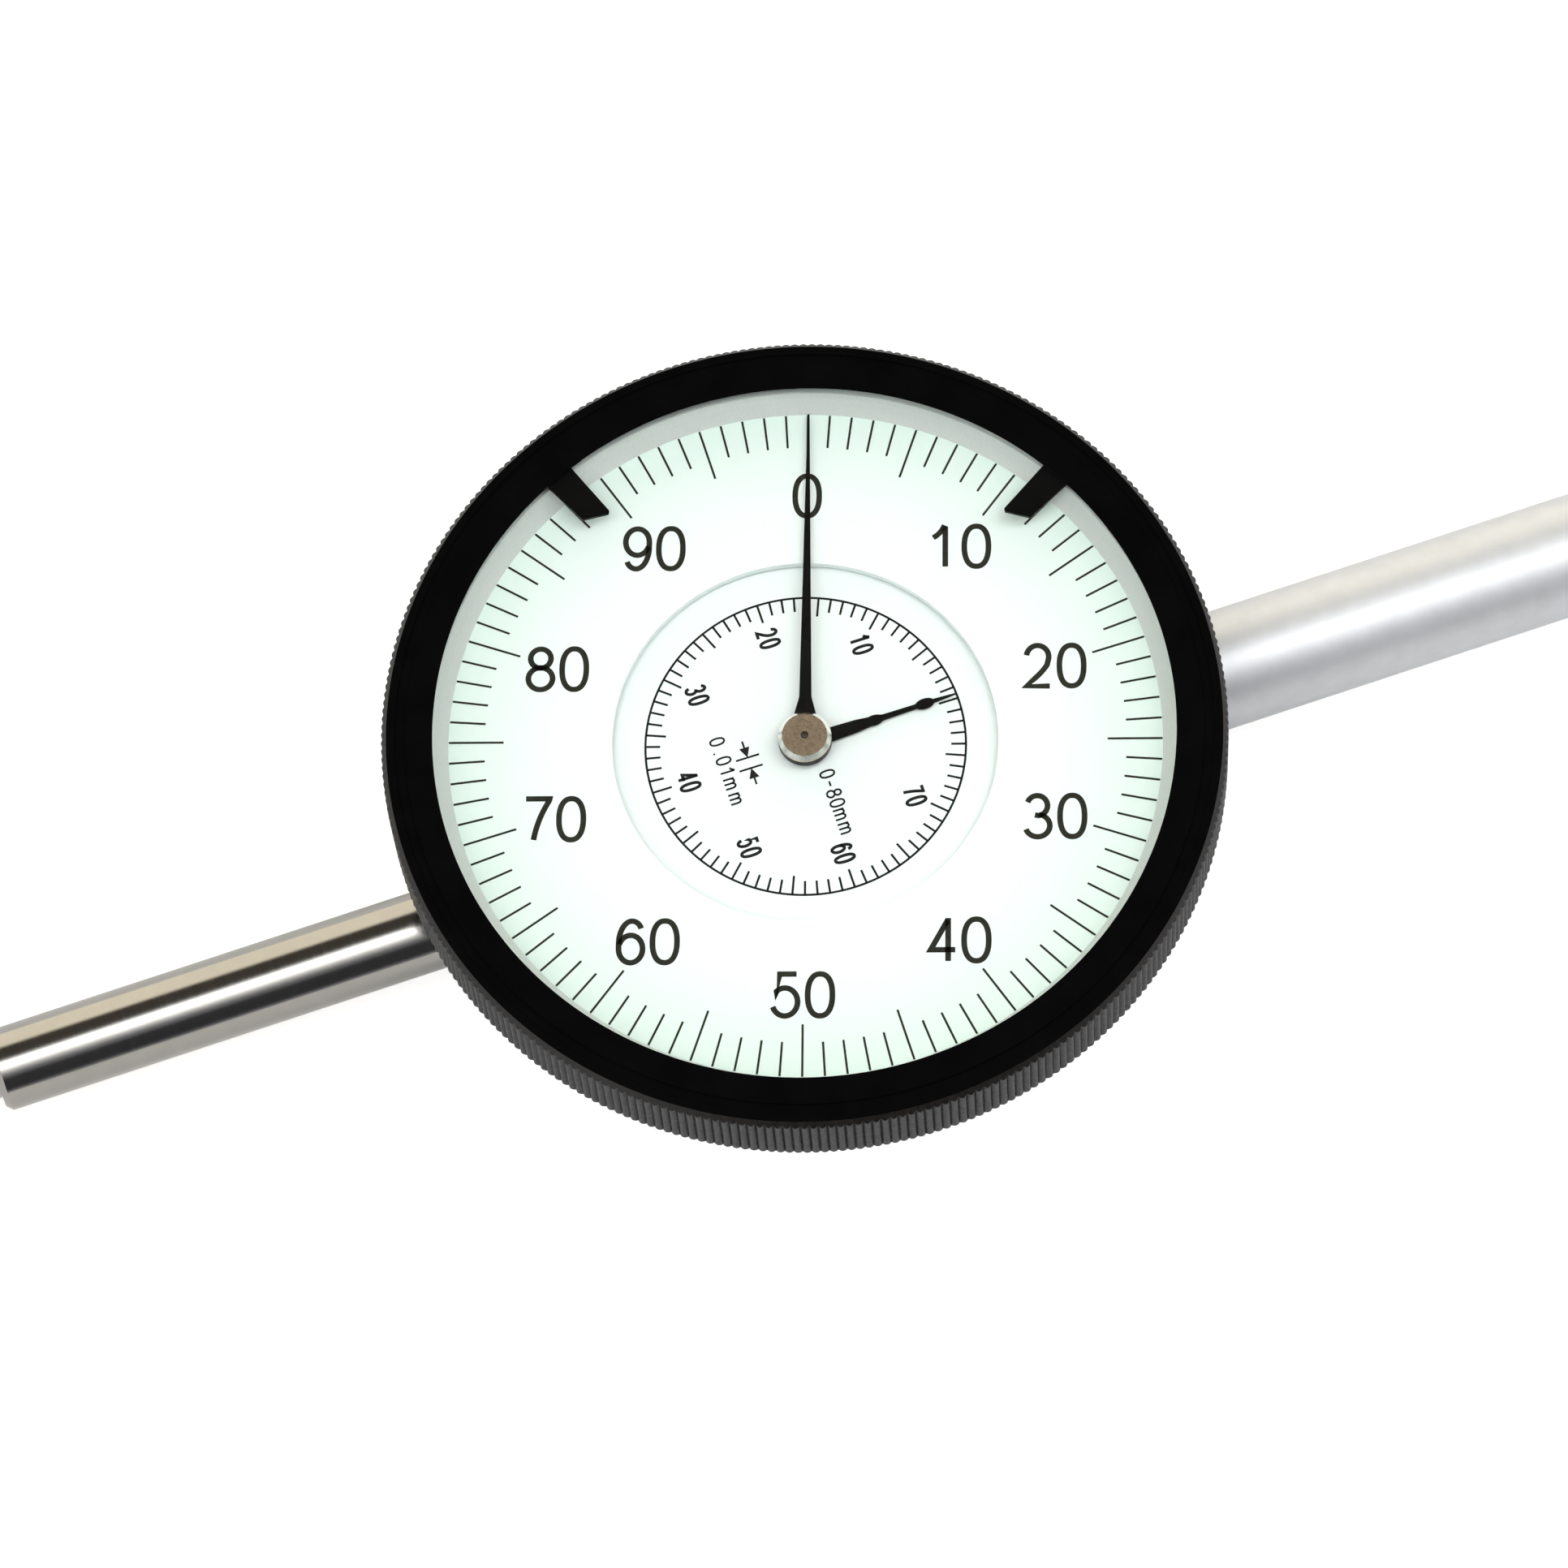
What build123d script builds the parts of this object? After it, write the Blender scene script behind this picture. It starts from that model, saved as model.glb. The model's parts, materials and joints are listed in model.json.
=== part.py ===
# Long-travel dial indicator, 0 to 80 mm by 0.01 mm.
# Origin: centre of the back cover's outer face. +Z out of the dial,
# +Y along the spindle towards the cap tube, +X to the right.
from build123d import *
from math import atan2, cos, degrees, pi, radians, sin, sqrt
import os

os.makedirs("parts", exist_ok=True)

# ---- driving dimensions, millimetres ----
travel = 80.0
axis_height = 9.0            # spindle line above the back face
dial_above_axis = 16.0
stem_diameter = 8.0
stem_end = 82.5              # stem tip from the dial's centre
spindle_diameter = 5.0
neck_diameter = 10.0
tube_diameter = 11.5
tube_wall = 1.0
case_diameter = 60.0
case_wall = 1.8
bezel_diameter = 80.0
bezel_above_dial = 3.7
bezel_below_dial = 4.0
lip_width = 4.9              # black face inward from the grip
inner_dial_hole = 36.6       # hole in the turning dial
inner_dial_drop = 1.2        # fixed dial below the turning one

# ---- clearances ----
running_gap = 0.03           # shaft in its bush, radial
pivot_gap = 0.03
end_shake = 0.05             # along an arbor
fixed_gap = 0.02             # between two pieces that don't move
moving_gap = 0.3             # between bodies that pass each other
slide_gap = 0.05             # limit pointers in their groove
slot_gap = 0.12              # guide pin in its slot, each side

# ---- gear train ----
rack_pitch = 0.625
module = rack_pitch / pi
addendum = 0.9 * module
dedendum = 1.2 * module
rack_pinion_teeth = 16
large_wheel_teeth = 100
centre_pinion_teeth = 10
barrel_teeth = 64
motion_pinion_teeth = 12
reduction_wheel_teeth = 48
reduction_pinion_teeth = 24
hand_wheel_teeth = 48
wheel_thickness = 0.6

# ---- radii and heights worked out from them ----
spindle_radius = spindle_diameter / 2
stem_radius = stem_diameter / 2
bush_wall = 0.5
bush_radius = spindle_radius + running_gap + bush_wall
case_radius = case_diameter / 2
case_bore = case_radius - case_wall
bezel_radius = bezel_diameter / 2
dial_z = axis_height + dial_above_axis
cover_thickness = 1.2

plate_thickness = 1.5
lower_plate_thickness = 1.2
main_plate_bottom = axis_height + spindle_radius + 0.9
main_plate_top = main_plate_bottom + plate_thickness
plate_space = 3.5
bridge_bottom = main_plate_top + plate_space
bridge_top = bridge_bottom + plate_thickness
cover_rim = 0.8
small_head_height = 1.0
lower_plate_bottom = cover_thickness + cover_rim + small_head_height + 0.2
lower_plate_top = lower_plate_bottom + lower_plate_thickness


def pitch_radius(teeth):
    return module * teeth / 2


def tooth_outline(teeth, phase):
    """Points round a gear with a tooth centred on the angle phase, in degrees."""
    step = 360 / teeth
    shape = [(-0.34, -dedendum), (-0.215, 0), (-0.11, addendum),
             (0.11, addendum), (0.215, 0), (0.34, -dedendum)]
    points = []
    for tooth in range(teeth):
        for share, rise in shape:
            angle = radians(phase + (tooth + share) * step)
            reach = pitch_radius(teeth) + rise
            points.append((reach * cos(angle), reach * sin(angle)))
    return points


def mesh_phase(driver_teeth, driver_phase, driver_at, driven_teeth, driven_at):
    """Phase that puts a gap of the driven gear on the driver's tooth."""
    line = degrees(atan2(driven_at[1] - driver_at[1], driven_at[0] - driver_at[0]))
    ahead = (driver_phase - line) % (360 / driver_teeth)
    return line + 180 - ahead * driver_teeth / driven_teeth - 180 / driven_teeth


def third_corner(first, second, from_first, from_second, side):
    """Point at the two given distances from two others; side picks which one."""
    span = sqrt((second[0] - first[0]) ** 2 + (second[1] - first[1]) ** 2)
    along = (from_first ** 2 - from_second ** 2 + span ** 2) / (2 * span)
    across = side * sqrt(from_first ** 2 - along ** 2)
    ux, uy = (second[0] - first[0]) / span, (second[1] - first[1]) / span
    return (first[0] + along * ux - across * uy, first[1] + along * uy + across * ux)


def on_circle(radius, *angles):
    """Points on a circle about the dial's axis, angles in degrees from +X."""
    return [(radius * cos(radians(a)), radius * sin(radians(a))) for a in angles]


def spiral_band(inner, outer, turns, thickness, start=0):
    """Outline of a flat spiral strip, both edges."""
    steps = int(turns * 20)
    inside, outside = [], []
    for i in range(steps + 1):
        angle = radians(start) + 2 * pi * turns * i / steps
        reach = inner + (outer - inner) * i / steps
        inside.append((reach * cos(angle), reach * sin(angle)))
        far = reach + thickness
        outside.append((far * cos(angle), far * sin(angle)))
    return inside + outside[::-1]


# ---- where the arbors stand ----
centre_at = (0.0, 0.0)
rack_line = spindle_radius - 0.6                 # pitch line, left of the spindle's axis
centre_distance = pitch_radius(large_wheel_teeth) + pitch_radius(centre_pinion_teeth)
rack_arbor_x = -(rack_line + pitch_radius(rack_pinion_teeth))
rack_arbor_at = (rack_arbor_x, sqrt(centre_distance ** 2 - rack_arbor_x ** 2))
takeup_at = (-rack_arbor_at[0], -rack_arbor_at[1])
barrel_distance = pitch_radius(barrel_teeth) + pitch_radius(rack_pinion_teeth)
barrel_at = (rack_arbor_at[0] - barrel_distance, rack_arbor_at[1])
reduction_at = third_corner(
    centre_at, rack_arbor_at,
    pitch_radius(reduction_pinion_teeth) + pitch_radius(hand_wheel_teeth),
    pitch_radius(motion_pinion_teeth) + pitch_radius(reduction_wheel_teeth), -1)

# a tooth of the rack pinion points at the rack; the other phases follow the mesh
centre_phase = mesh_phase(large_wheel_teeth, 0, rack_arbor_at, centre_pinion_teeth, centre_at)
takeup_phase = mesh_phase(centre_pinion_teeth, centre_phase, centre_at, large_wheel_teeth, takeup_at)
barrel_phase = mesh_phase(rack_pinion_teeth, 0, rack_arbor_at, barrel_teeth, barrel_at)
reduction_phase = mesh_phase(motion_pinion_teeth, 0, rack_arbor_at,
                             reduction_wheel_teeth, reduction_at)
hand_wheel_phase = mesh_phase(reduction_pinion_teeth, 0, reduction_at, hand_wheel_teeth, centre_at)

spindle_axis = Axis((0, 0, axis_height), (0, 1, 0))
along_spindle = Plane(origin=(0, 0, axis_height), x_dir=(0, 1, 0), z_dir=(1, 0, 0))


def across_spindle(y):
    """Plane square to the spindle at y."""
    return Plane(origin=(0, y, axis_height), x_dir=(1, 0, 0), z_dir=(0, 1, 0))


def level(at, z):
    """Plane at height z with its origin over an arbor."""
    return Plane(origin=(at[0], at[1], z))


# ================= case =================
bezel_bore = bezel_radius - 1.95
rim_radius = bezel_bore - moving_gap
rim_wall = 1.75
rim_top = dial_z - 2.3
bezel_bottom = dial_z - bezel_below_dial
bezel_top = dial_z + bezel_above_dial
flange_top = bezel_bottom - moving_gap
flange_thickness = 1.3
wire_z = dial_z - 3.0
wire_radius = 0.35
wire_path_radius = rim_radius + 0.1
wire_groove_half = 0.5
wire_groove_depth = 0.55

stem_boss_end = case_radius + 4
stem_seat_radius = (stem_radius + bush_radius) / 2
stem_boss_radius = stem_radius + 1.8
neck_boss_radius = neck_diameter / 2 + 1.6
cover_screw_radius = 0.8
cover_screws_at = on_circle(case_bore - 1.3, 30, 150, 210, 330)
plate_screw_radius = 1.0
plate_screws_at = on_circle(case_bore - 2.6, 15, 165, 215, 325)
plate_boss_height = 3.4
cover_boss_height = 3.0

with BuildPart() as case_body:
    with BuildSketch(Plane.XZ):
        with BuildLine():
            Polyline(
                (case_radius - 0.6, cover_thickness),
                (case_radius, cover_thickness + 0.6),
                (case_radius, flange_top - flange_thickness),
                (rim_radius, flange_top - flange_thickness),
                (rim_radius, wire_z - wire_groove_half),
                (rim_radius - wire_groove_depth, wire_z - wire_groove_half),
                (rim_radius - wire_groove_depth, wire_z + wire_groove_half),
                (rim_radius, wire_z + wire_groove_half),
                (rim_radius, rim_top),
                (rim_radius - rim_wall, rim_top),
                (rim_radius - rim_wall, flange_top),
                (case_bore, flange_top),
                (case_bore, cover_thickness),
                close=True,
            )
        make_face()
    revolve(axis=Axis.Z)
    with BuildSketch(across_spindle(-stem_boss_end)):
        Circle(stem_boss_radius)
    extrude(amount=stem_boss_end - case_bore - 0.4)
    with BuildSketch(across_spindle(case_bore + 0.4)):
        Circle(neck_boss_radius)
    extrude(amount=stem_boss_end - case_bore - 0.4)
    with BuildSketch(Plane.XY.offset(cover_thickness)):
        with Locations(*cover_screws_at):
            Circle(1.7)
    extrude(amount=cover_boss_height)
    with BuildSketch(Plane.XY.offset(main_plate_bottom - plate_boss_height)):
        with Locations(*plate_screws_at):
            Circle(3.0)
    extrude(amount=plate_boss_height)
    with BuildSketch(Plane.XY.offset(cover_thickness)):
        with Locations(*cover_screws_at):
            Circle(cover_screw_radius + fixed_gap)
    extrude(amount=cover_boss_height - 0.6, mode=Mode.SUBTRACT)
    with BuildSketch(Plane.XY.offset(main_plate_bottom)):
        with Locations(*plate_screws_at):
            Circle(plate_screw_radius + fixed_gap)
    extrude(amount=1 - plate_boss_height, mode=Mode.SUBTRACT)
    with BuildSketch(across_spindle(0)):
        Circle(stem_seat_radius + fixed_gap)
    extrude(amount=-stem_boss_end, mode=Mode.SUBTRACT)
    with BuildSketch(across_spindle(0)):
        Circle(neck_diameter / 2 + fixed_gap)
    extrude(amount=stem_boss_end, mode=Mode.SUBTRACT)
case_body.part.label = "case_body"
export_step(case_body.part, "parts/case_body.step")

with BuildPart() as back_cover:
    with BuildSketch(Plane.XY):
        Circle(case_radius - 0.6)
    extrude(amount=cover_thickness)
    chamfer(back_cover.faces().sort_by(Axis.Z)[0].edges(), 0.4)
    with BuildSketch(Plane.XY.offset(cover_thickness)):
        Circle(case_bore - 3.2)
        Circle(case_bore - 5.2, mode=Mode.SUBTRACT)
    extrude(amount=cover_rim)
    with BuildSketch(Plane.XY):
        with Locations(*cover_screws_at):
            Circle(cover_screw_radius + fixed_gap)
    extrude(amount=cover_thickness, mode=Mode.SUBTRACT)
    with Locations(*[(x, y, 0) for x, y in cover_screws_at]):
        Cone(1.55 + fixed_gap, cover_screw_radius + fixed_gap, 0.8,
             align=(Align.CENTER, Align.CENTER, Align.MIN), mode=Mode.SUBTRACT)
back_cover.part.label = "back_cover"
export_step(back_cover.part, "parts/back_cover.step")

with BuildPart() as back_cover_screws:
    with Locations(*[(x, y, end_shake) for x, y in cover_screws_at]):
        Cone(1.5, cover_screw_radius, 0.75, align=(Align.CENTER, Align.CENTER, Align.MIN))
        Cylinder(cover_screw_radius, cover_thickness + cover_boss_height - 1.0,
                 align=(Align.CENTER, Align.CENTER, Align.MIN))
        Box(2.2, 0.4, 0.7, align=(Align.CENTER, Align.CENTER, Align.CENTER), mode=Mode.SUBTRACT)
back_cover_screws.part.label = "back_cover_screws"
export_step(back_cover_screws.part, "parts/back_cover_screws.step")

# ================= stem and its bushes =================
bush_length = 9.0
tip_chamfer = 1.0

with BuildPart() as stem:
    with BuildSketch(across_spindle(-stem_end)):
        Circle(stem_radius)
    extrude(amount=stem_end - stem_boss_end)
    with BuildSketch(across_spindle(-stem_boss_end)):
        Circle(stem_seat_radius)
    extrude(amount=stem_boss_end - case_bore)
    with BuildSketch(across_spindle(-stem_end)):
        Circle(bush_radius)
    extrude(amount=stem_end - case_bore, mode=Mode.SUBTRACT)
    rim_edges = stem.faces().sort_by(Axis.Y)[0].edges().sort_by(SortBy.RADIUS)
    chamfer(rim_edges[-1], min(tip_chamfer, 0.6 * (stem_radius - bush_radius)))
stem.part.label = "stem"
export_step(stem.part, "parts/stem.step")

with BuildPart() as stem_bush:
    with BuildSketch(across_spindle(-stem_end + 0.5)):
        Circle(bush_radius - fixed_gap)
        Circle(spindle_radius + running_gap, mode=Mode.SUBTRACT)
    extrude(amount=bush_length)
stem_bush.part.label = "stem_bush"
export_step(stem_bush.part, "parts/stem_bush.step")

with BuildPart() as case_bush:
    with BuildSketch(across_spindle(-case_bore - bush_length)):
        Circle(bush_radius - fixed_gap)
        Circle(spindle_radius + running_gap, mode=Mode.SUBTRACT)
    extrude(amount=bush_length)
case_bush.part.label = "case_bush"
export_step(case_bush.part, "parts/case_bush.step")

# ================= neck, cap tube and guide =================
neck_radius = neck_diameter / 2
tube_radius = tube_diameter / 2
tube_bore = tube_radius - tube_wall
neck_end = stem_boss_end + 2.0   # the cap tube stops this near the boss
upper_bush_end = case_bore + 12.8
upper_bush_radius = bush_radius + 0.5
spigot_radius = min(tube_bore - fixed_gap, neck_radius - 0.3)
spigot_end = upper_bush_end + 16.0
sleeve_radius = spigot_radius - 0.55
pin_radius = 0.6
pin_y = upper_bush_end + moving_gap + pin_radius
spindle_top = pin_y + 4.5
sleeve_end = spindle_top + travel + 2.0
tube_floor = sleeve_end + 0.5
tube_end = tube_floor + 3.5

with BuildPart() as neck:
    with BuildSketch(along_spindle):
        with BuildLine():
            Polyline(
                (case_bore, upper_bush_radius),
                (case_bore, neck_radius),
                (neck_end, neck_radius),
                (neck_end, spigot_radius),
                (spigot_end, spigot_radius),
                (spigot_end, sleeve_radius),
                (upper_bush_end, sleeve_radius),
                (upper_bush_end, upper_bush_radius),
                close=True,
            )
        make_face()
    revolve(axis=spindle_axis)
neck.part.label = "neck"
export_step(neck.part, "parts/neck.step")

with BuildPart() as upper_bush:
    with BuildSketch(across_spindle(case_bore)):
        Circle(upper_bush_radius - fixed_gap)
        Circle(spindle_radius + running_gap, mode=Mode.SUBTRACT)
    extrude(amount=upper_bush_end - case_bore)
upper_bush.part.label = "upper_bush"
export_step(upper_bush.part, "parts/upper_bush.step")

with BuildPart() as guide_sleeve:
    with BuildSketch(across_spindle(upper_bush_end)):
        Circle(sleeve_radius - fixed_gap)
        Circle(spindle_radius + 0.45, mode=Mode.SUBTRACT)
    extrude(amount=sleeve_end - upper_bush_end)
    with BuildSketch(across_spindle(upper_bush_end)):
        with Locations((0, -sleeve_radius)):
            Rectangle(2 * (pin_radius + slot_gap), 2 * (sleeve_radius - spindle_radius))
    extrude(amount=sleeve_end - upper_bush_end, mode=Mode.SUBTRACT)
guide_sleeve.part.label = "guide_sleeve"
export_step(guide_sleeve.part, "parts/guide_sleeve.step")

with BuildPart() as cap_tube:
    with BuildSketch(across_spindle(neck_end)):
        Circle(tube_radius)
        Circle(tube_bore, mode=Mode.SUBTRACT)
    extrude(amount=tube_end - neck_end)
    open_rim = cap_tube.faces().sort_by(Axis.Y)[0].edges().sort_by(SortBy.RADIUS)
    chamfer(open_rim[-1], 0.4 * tube_wall)
cap_tube.part.label = "cap_tube"
export_step(cap_tube.part, "parts/cap_tube.step")

with BuildPart() as tube_end_cap:
    with BuildSketch(along_spindle):
        with BuildLine():
            Polyline(
                (tube_floor, 0),
                (tube_floor, tube_bore - fixed_gap),
                (tube_end, tube_bore - fixed_gap),
                (tube_end, tube_radius),
                (tube_end + 1.0, tube_radius),
                (tube_end + 1.8, tube_radius - 0.8),
                (tube_end + 1.8, 0),
                close=True,
            )
        make_face()
    revolve(axis=spindle_axis)
tube_end_cap.part.label = "tube_end_cap"
export_step(tube_end_cap.part, "parts/tube_end_cap.step")

# ================= spindle =================
spindle_bottom = stem_end + travel + 3.0
rack_margin = 3.0
rack_start = rack_arbor_at[1] - travel - rack_margin
rack_stop = rack_arbor_at[1] + rack_margin
thread_radius = 1.25
thread_length = 5.0


def rack_comb():
    """Outline cut from the spindle's left side: a flat with the rack's gaps in it."""
    tip = -(rack_line + addendum)
    root = -(rack_line - dedendum)
    far = -(spindle_radius + 1)
    shape = [(-0.39, tip), (-0.16, root), (0.16, root), (0.39, tip)]
    first = int((rack_start - rack_arbor_at[1]) / rack_pitch) + 1
    last = int((rack_stop - rack_arbor_at[1]) / rack_pitch) - 1
    points = [(far, rack_start), (tip, rack_start)]
    for gap in range(first, last + 1):
        for share, x in shape:
            points.append((x, rack_arbor_at[1] + (gap + share) * rack_pitch))
    return points + [(tip, rack_stop), (far, rack_stop)]


with BuildPart() as spindle:
    with BuildSketch(across_spindle(-spindle_bottom)):
        Circle(spindle_radius)
    extrude(amount=spindle_bottom + spindle_top)
    chamfer(spindle.edges().filter_by(GeomType.CIRCLE), 0.3)
    with BuildSketch(Plane.XY.offset(axis_height - spindle_radius - 1)):
        with BuildLine():
            Polyline(*rack_comb(), close=True)
        make_face()
    extrude(amount=2 * spindle_radius + 2, mode=Mode.SUBTRACT)
    with BuildSketch(across_spindle(-spindle_bottom)):
        Circle(thread_radius + fixed_gap)
    extrude(amount=thread_length + 0.5, mode=Mode.SUBTRACT)
    with BuildSketch(level((0, pin_y), axis_height)):
        Circle(pin_radius + fixed_gap)
    extrude(amount=spindle_radius + 1, mode=Mode.SUBTRACT)
spindle.part.label = "spindle"
export_step(spindle.part, "parts/spindle.step")

with BuildPart() as guide_pin:
    with BuildSketch(level((0, pin_y), axis_height)):
        Circle(pin_radius)
    extrude(amount=sleeve_radius - 0.2)
guide_pin.part.label = "guide_pin"
export_step(guide_pin.part, "parts/guide_pin.step")

ball_radius = 1.5
contact_base = spindle_bottom
contact_length = 9.0
ball_y = -(contact_base + contact_length)

with BuildPart() as contact_point:
    with BuildSketch(along_spindle):
        with BuildLine():
            Polyline(
                (-contact_base + thread_length, 0),
                (-contact_base + thread_length, thread_radius),
                (-contact_base, thread_radius),
                (-contact_base, spindle_radius - 0.1),
                (-contact_base - 3.2, spindle_radius - 0.1),
                (-contact_base - 4.0, spindle_radius - 0.9),
                (ball_y + 0.6, ball_radius - 0.1),
                (ball_y + 0.6, 0),
                close=True,
            )
        make_face()
    revolve(axis=spindle_axis)
    with Locations((0, ball_y, axis_height)):
        Sphere(ball_radius, mode=Mode.SUBTRACT)
contact_point.part.label = "contact_point"
export_step(contact_point.part, "parts/contact_point.step")

with BuildPart() as contact_ball:
    with Locations((0, ball_y, axis_height)):
        Sphere(ball_radius)
contact_ball.part.label = "contact_ball"
export_step(contact_ball.part, "parts/contact_ball.step")

# ================= movement plates =================
jewel_radius = 0.9
jewel_thickness = 0.6
pivot_radius = 0.25
journal_radius = 0.4
centre_radius = 0.5
pillar_radius = 1.3
wheel_reach = pitch_radius(large_wheel_teeth) + addendum
bridge_pillars_at = []
for wheel_at, side in ((takeup_at, 1), (rack_arbor_at, -1)):
    bridge_pillars_at.append((wheel_at[0] + side * (wheel_reach + 1.0), wheel_at[1] + side * 14.4))
    bridge_pillars_at.append((side * (wheel_reach + 0.9), side * 14.0))
bridge_radius = 20.5
main_plate_radius = case_bore - 0.6
barrel_clearance = pitch_radius(barrel_teeth) + addendum + pillar_radius + moving_gap
lower_pillars_at = [
    (barrel_at[0] + 1.5, barrel_at[1] + barrel_clearance),
    (barrel_at[0] - 2.0, barrel_at[1] - barrel_clearance),
    (spindle_radius + 2.7, rack_arbor_at[1] + 6.6),
    (spindle_radius + 2.7, rack_arbor_at[1] - 6.6),
]
dial_feet_at = on_circle(15.0, 30, 150, 270)
dial_foot_radius = 0.9
screw_head_radius = 1.8
screw_head_height = 1.0
bridge_screw_radius = 0.7

with BuildPart() as lower_plate:
    with BuildSketch(Plane.XY.offset(lower_plate_bottom)):
        with Locations(*lower_pillars_at):
            Circle(pillar_radius + 0.5)
        with Locations(barrel_at):
            Circle(3.0)
        make_hull()
    extrude(amount=lower_plate_thickness)
    with BuildSketch(level(rack_arbor_at, lower_plate_bottom)):
        Circle(jewel_radius + fixed_gap)
    extrude(amount=lower_plate_thickness, mode=Mode.SUBTRACT)
    with BuildSketch(Plane.XY.offset(lower_plate_bottom)):
        with Locations(*lower_pillars_at):
            Circle(bridge_screw_radius + fixed_gap)
    extrude(amount=lower_plate_thickness, mode=Mode.SUBTRACT)
lower_plate.part.label = "lower_plate"
export_step(lower_plate.part, "parts/lower_plate.step")

with BuildPart() as lower_pillars:
    with BuildSketch(Plane.XY.offset(lower_plate_top)):
        with Locations(*lower_pillars_at):
            Circle(pillar_radius)
            Circle(bridge_screw_radius + fixed_gap, mode=Mode.SUBTRACT)
    extrude(amount=main_plate_bottom - lower_plate_top)
lower_pillars.part.label = "lower_pillars"
export_step(lower_pillars.part, "parts/lower_pillars.step")

with BuildPart() as lower_plate_screws:
    with BuildSketch(Plane.XY.offset(lower_plate_bottom - small_head_height)):
        with Locations(*lower_pillars_at):
            Circle(pillar_radius)
    extrude(amount=small_head_height)
    with BuildSketch(Plane.XY.offset(lower_plate_bottom)):
        with Locations(*lower_pillars_at):
            Circle(bridge_screw_radius)
    extrude(amount=main_plate_bottom - lower_plate_bottom - 1)
    with BuildSketch(Plane.XY.offset(lower_plate_bottom - small_head_height)):
        with Locations(*lower_pillars_at):
            Rectangle(2 * pillar_radius, 0.4)
    extrude(amount=0.4, mode=Mode.SUBTRACT)
lower_plate_screws.part.label = "lower_plate_screws"
export_step(lower_plate_screws.part, "parts/lower_plate_screws.step")

with BuildPart() as main_plate:
    with BuildSketch(Plane.XY.offset(main_plate_bottom)):
        Circle(main_plate_radius)
        with Locations(*plate_screws_at):
            Circle(plate_screw_radius + fixed_gap, mode=Mode.SUBTRACT)
        with Locations(centre_at, takeup_at):
            Circle(jewel_radius + fixed_gap, mode=Mode.SUBTRACT)
        with Locations(rack_arbor_at):
            Circle(pitch_radius(rack_pinion_teeth) + addendum + moving_gap, mode=Mode.SUBTRACT)
        with Locations(*bridge_pillars_at):
            Circle(bridge_screw_radius + fixed_gap, mode=Mode.SUBTRACT)
    extrude(amount=plate_thickness)
main_plate.part.label = "main_plate"
export_step(main_plate.part, "parts/main_plate.step")

with BuildPart() as main_plate_screws:
    with BuildSketch(Plane.XY.offset(main_plate_bottom - plate_boss_height + 1.5)):
        with Locations(*plate_screws_at):
            Circle(plate_screw_radius)
    extrude(amount=plate_boss_height - 1.5 + plate_thickness)
    with BuildSketch(Plane.XY.offset(main_plate_top)):
        with Locations(*plate_screws_at):
            Circle(screw_head_radius)
    extrude(amount=screw_head_height)
    with BuildSketch(Plane.XY.offset(main_plate_top + screw_head_height)):
        with Locations(*plate_screws_at):
            Rectangle(2 * screw_head_radius, 0.5)
    extrude(amount=-0.5, mode=Mode.SUBTRACT)
main_plate_screws.part.label = "main_plate_screws"
export_step(main_plate_screws.part, "parts/main_plate_screws.step")

with BuildPart() as bridge_pillars:
    with BuildSketch(Plane.XY.offset(main_plate_top)):
        with Locations(*bridge_pillars_at):
            Circle(pillar_radius + 0.3)
            Circle(bridge_screw_radius + fixed_gap, mode=Mode.SUBTRACT)
    extrude(amount=plate_space)
bridge_pillars.part.label = "bridge_pillars"
export_step(bridge_pillars.part, "parts/bridge_pillars.step")

with BuildPart() as bridge_plate:
    with BuildSketch(Plane.XY.offset(bridge_bottom)):
        Circle(bridge_radius)
        with Locations(centre_at, takeup_at, rack_arbor_at):
            Circle(jewel_radius + fixed_gap, mode=Mode.SUBTRACT)
        with Locations(reduction_at):
            Circle(centre_radius + fixed_gap, mode=Mode.SUBTRACT)
        with Locations(*bridge_pillars_at):
            Circle(bridge_screw_radius + fixed_gap, mode=Mode.SUBTRACT)
        with Locations(*dial_feet_at):
            Circle(dial_foot_radius + fixed_gap, mode=Mode.SUBTRACT)
    extrude(amount=plate_thickness)
bridge_plate.part.label = "bridge_plate"
export_step(bridge_plate.part, "parts/bridge_plate.step")

with BuildPart() as bridge_screws:
    with BuildSketch(Plane.XY.offset(main_plate_bottom + 0.3)):
        with Locations(*bridge_pillars_at):
            Circle(bridge_screw_radius)
    extrude(amount=bridge_top - main_plate_bottom - 0.3)
    with BuildSketch(Plane.XY.offset(bridge_top)):
        with Locations(*bridge_pillars_at):
            Circle(pillar_radius)
    extrude(amount=screw_head_height)
    with BuildSketch(Plane.XY.offset(bridge_top + screw_head_height)):
        with Locations(*bridge_pillars_at):
            Rectangle(2 * pillar_radius, 0.4)
    extrude(amount=-0.4, mode=Mode.SUBTRACT)
bridge_screws.part.label = "bridge_screws"
export_step(bridge_screws.part, "parts/bridge_screws.step")

# (arbor, underside, bore) of each jewel
jewel_seats = [
    (centre_at, main_plate_top - jewel_thickness, pivot_radius),
    (centre_at, bridge_top - jewel_thickness, centre_radius),
    (rack_arbor_at, lower_plate_top - jewel_thickness, pivot_radius),
    (rack_arbor_at, bridge_top - jewel_thickness, journal_radius),
    (takeup_at, main_plate_top - jewel_thickness, pivot_radius),
    (takeup_at, bridge_bottom, pivot_radius),
]

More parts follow.
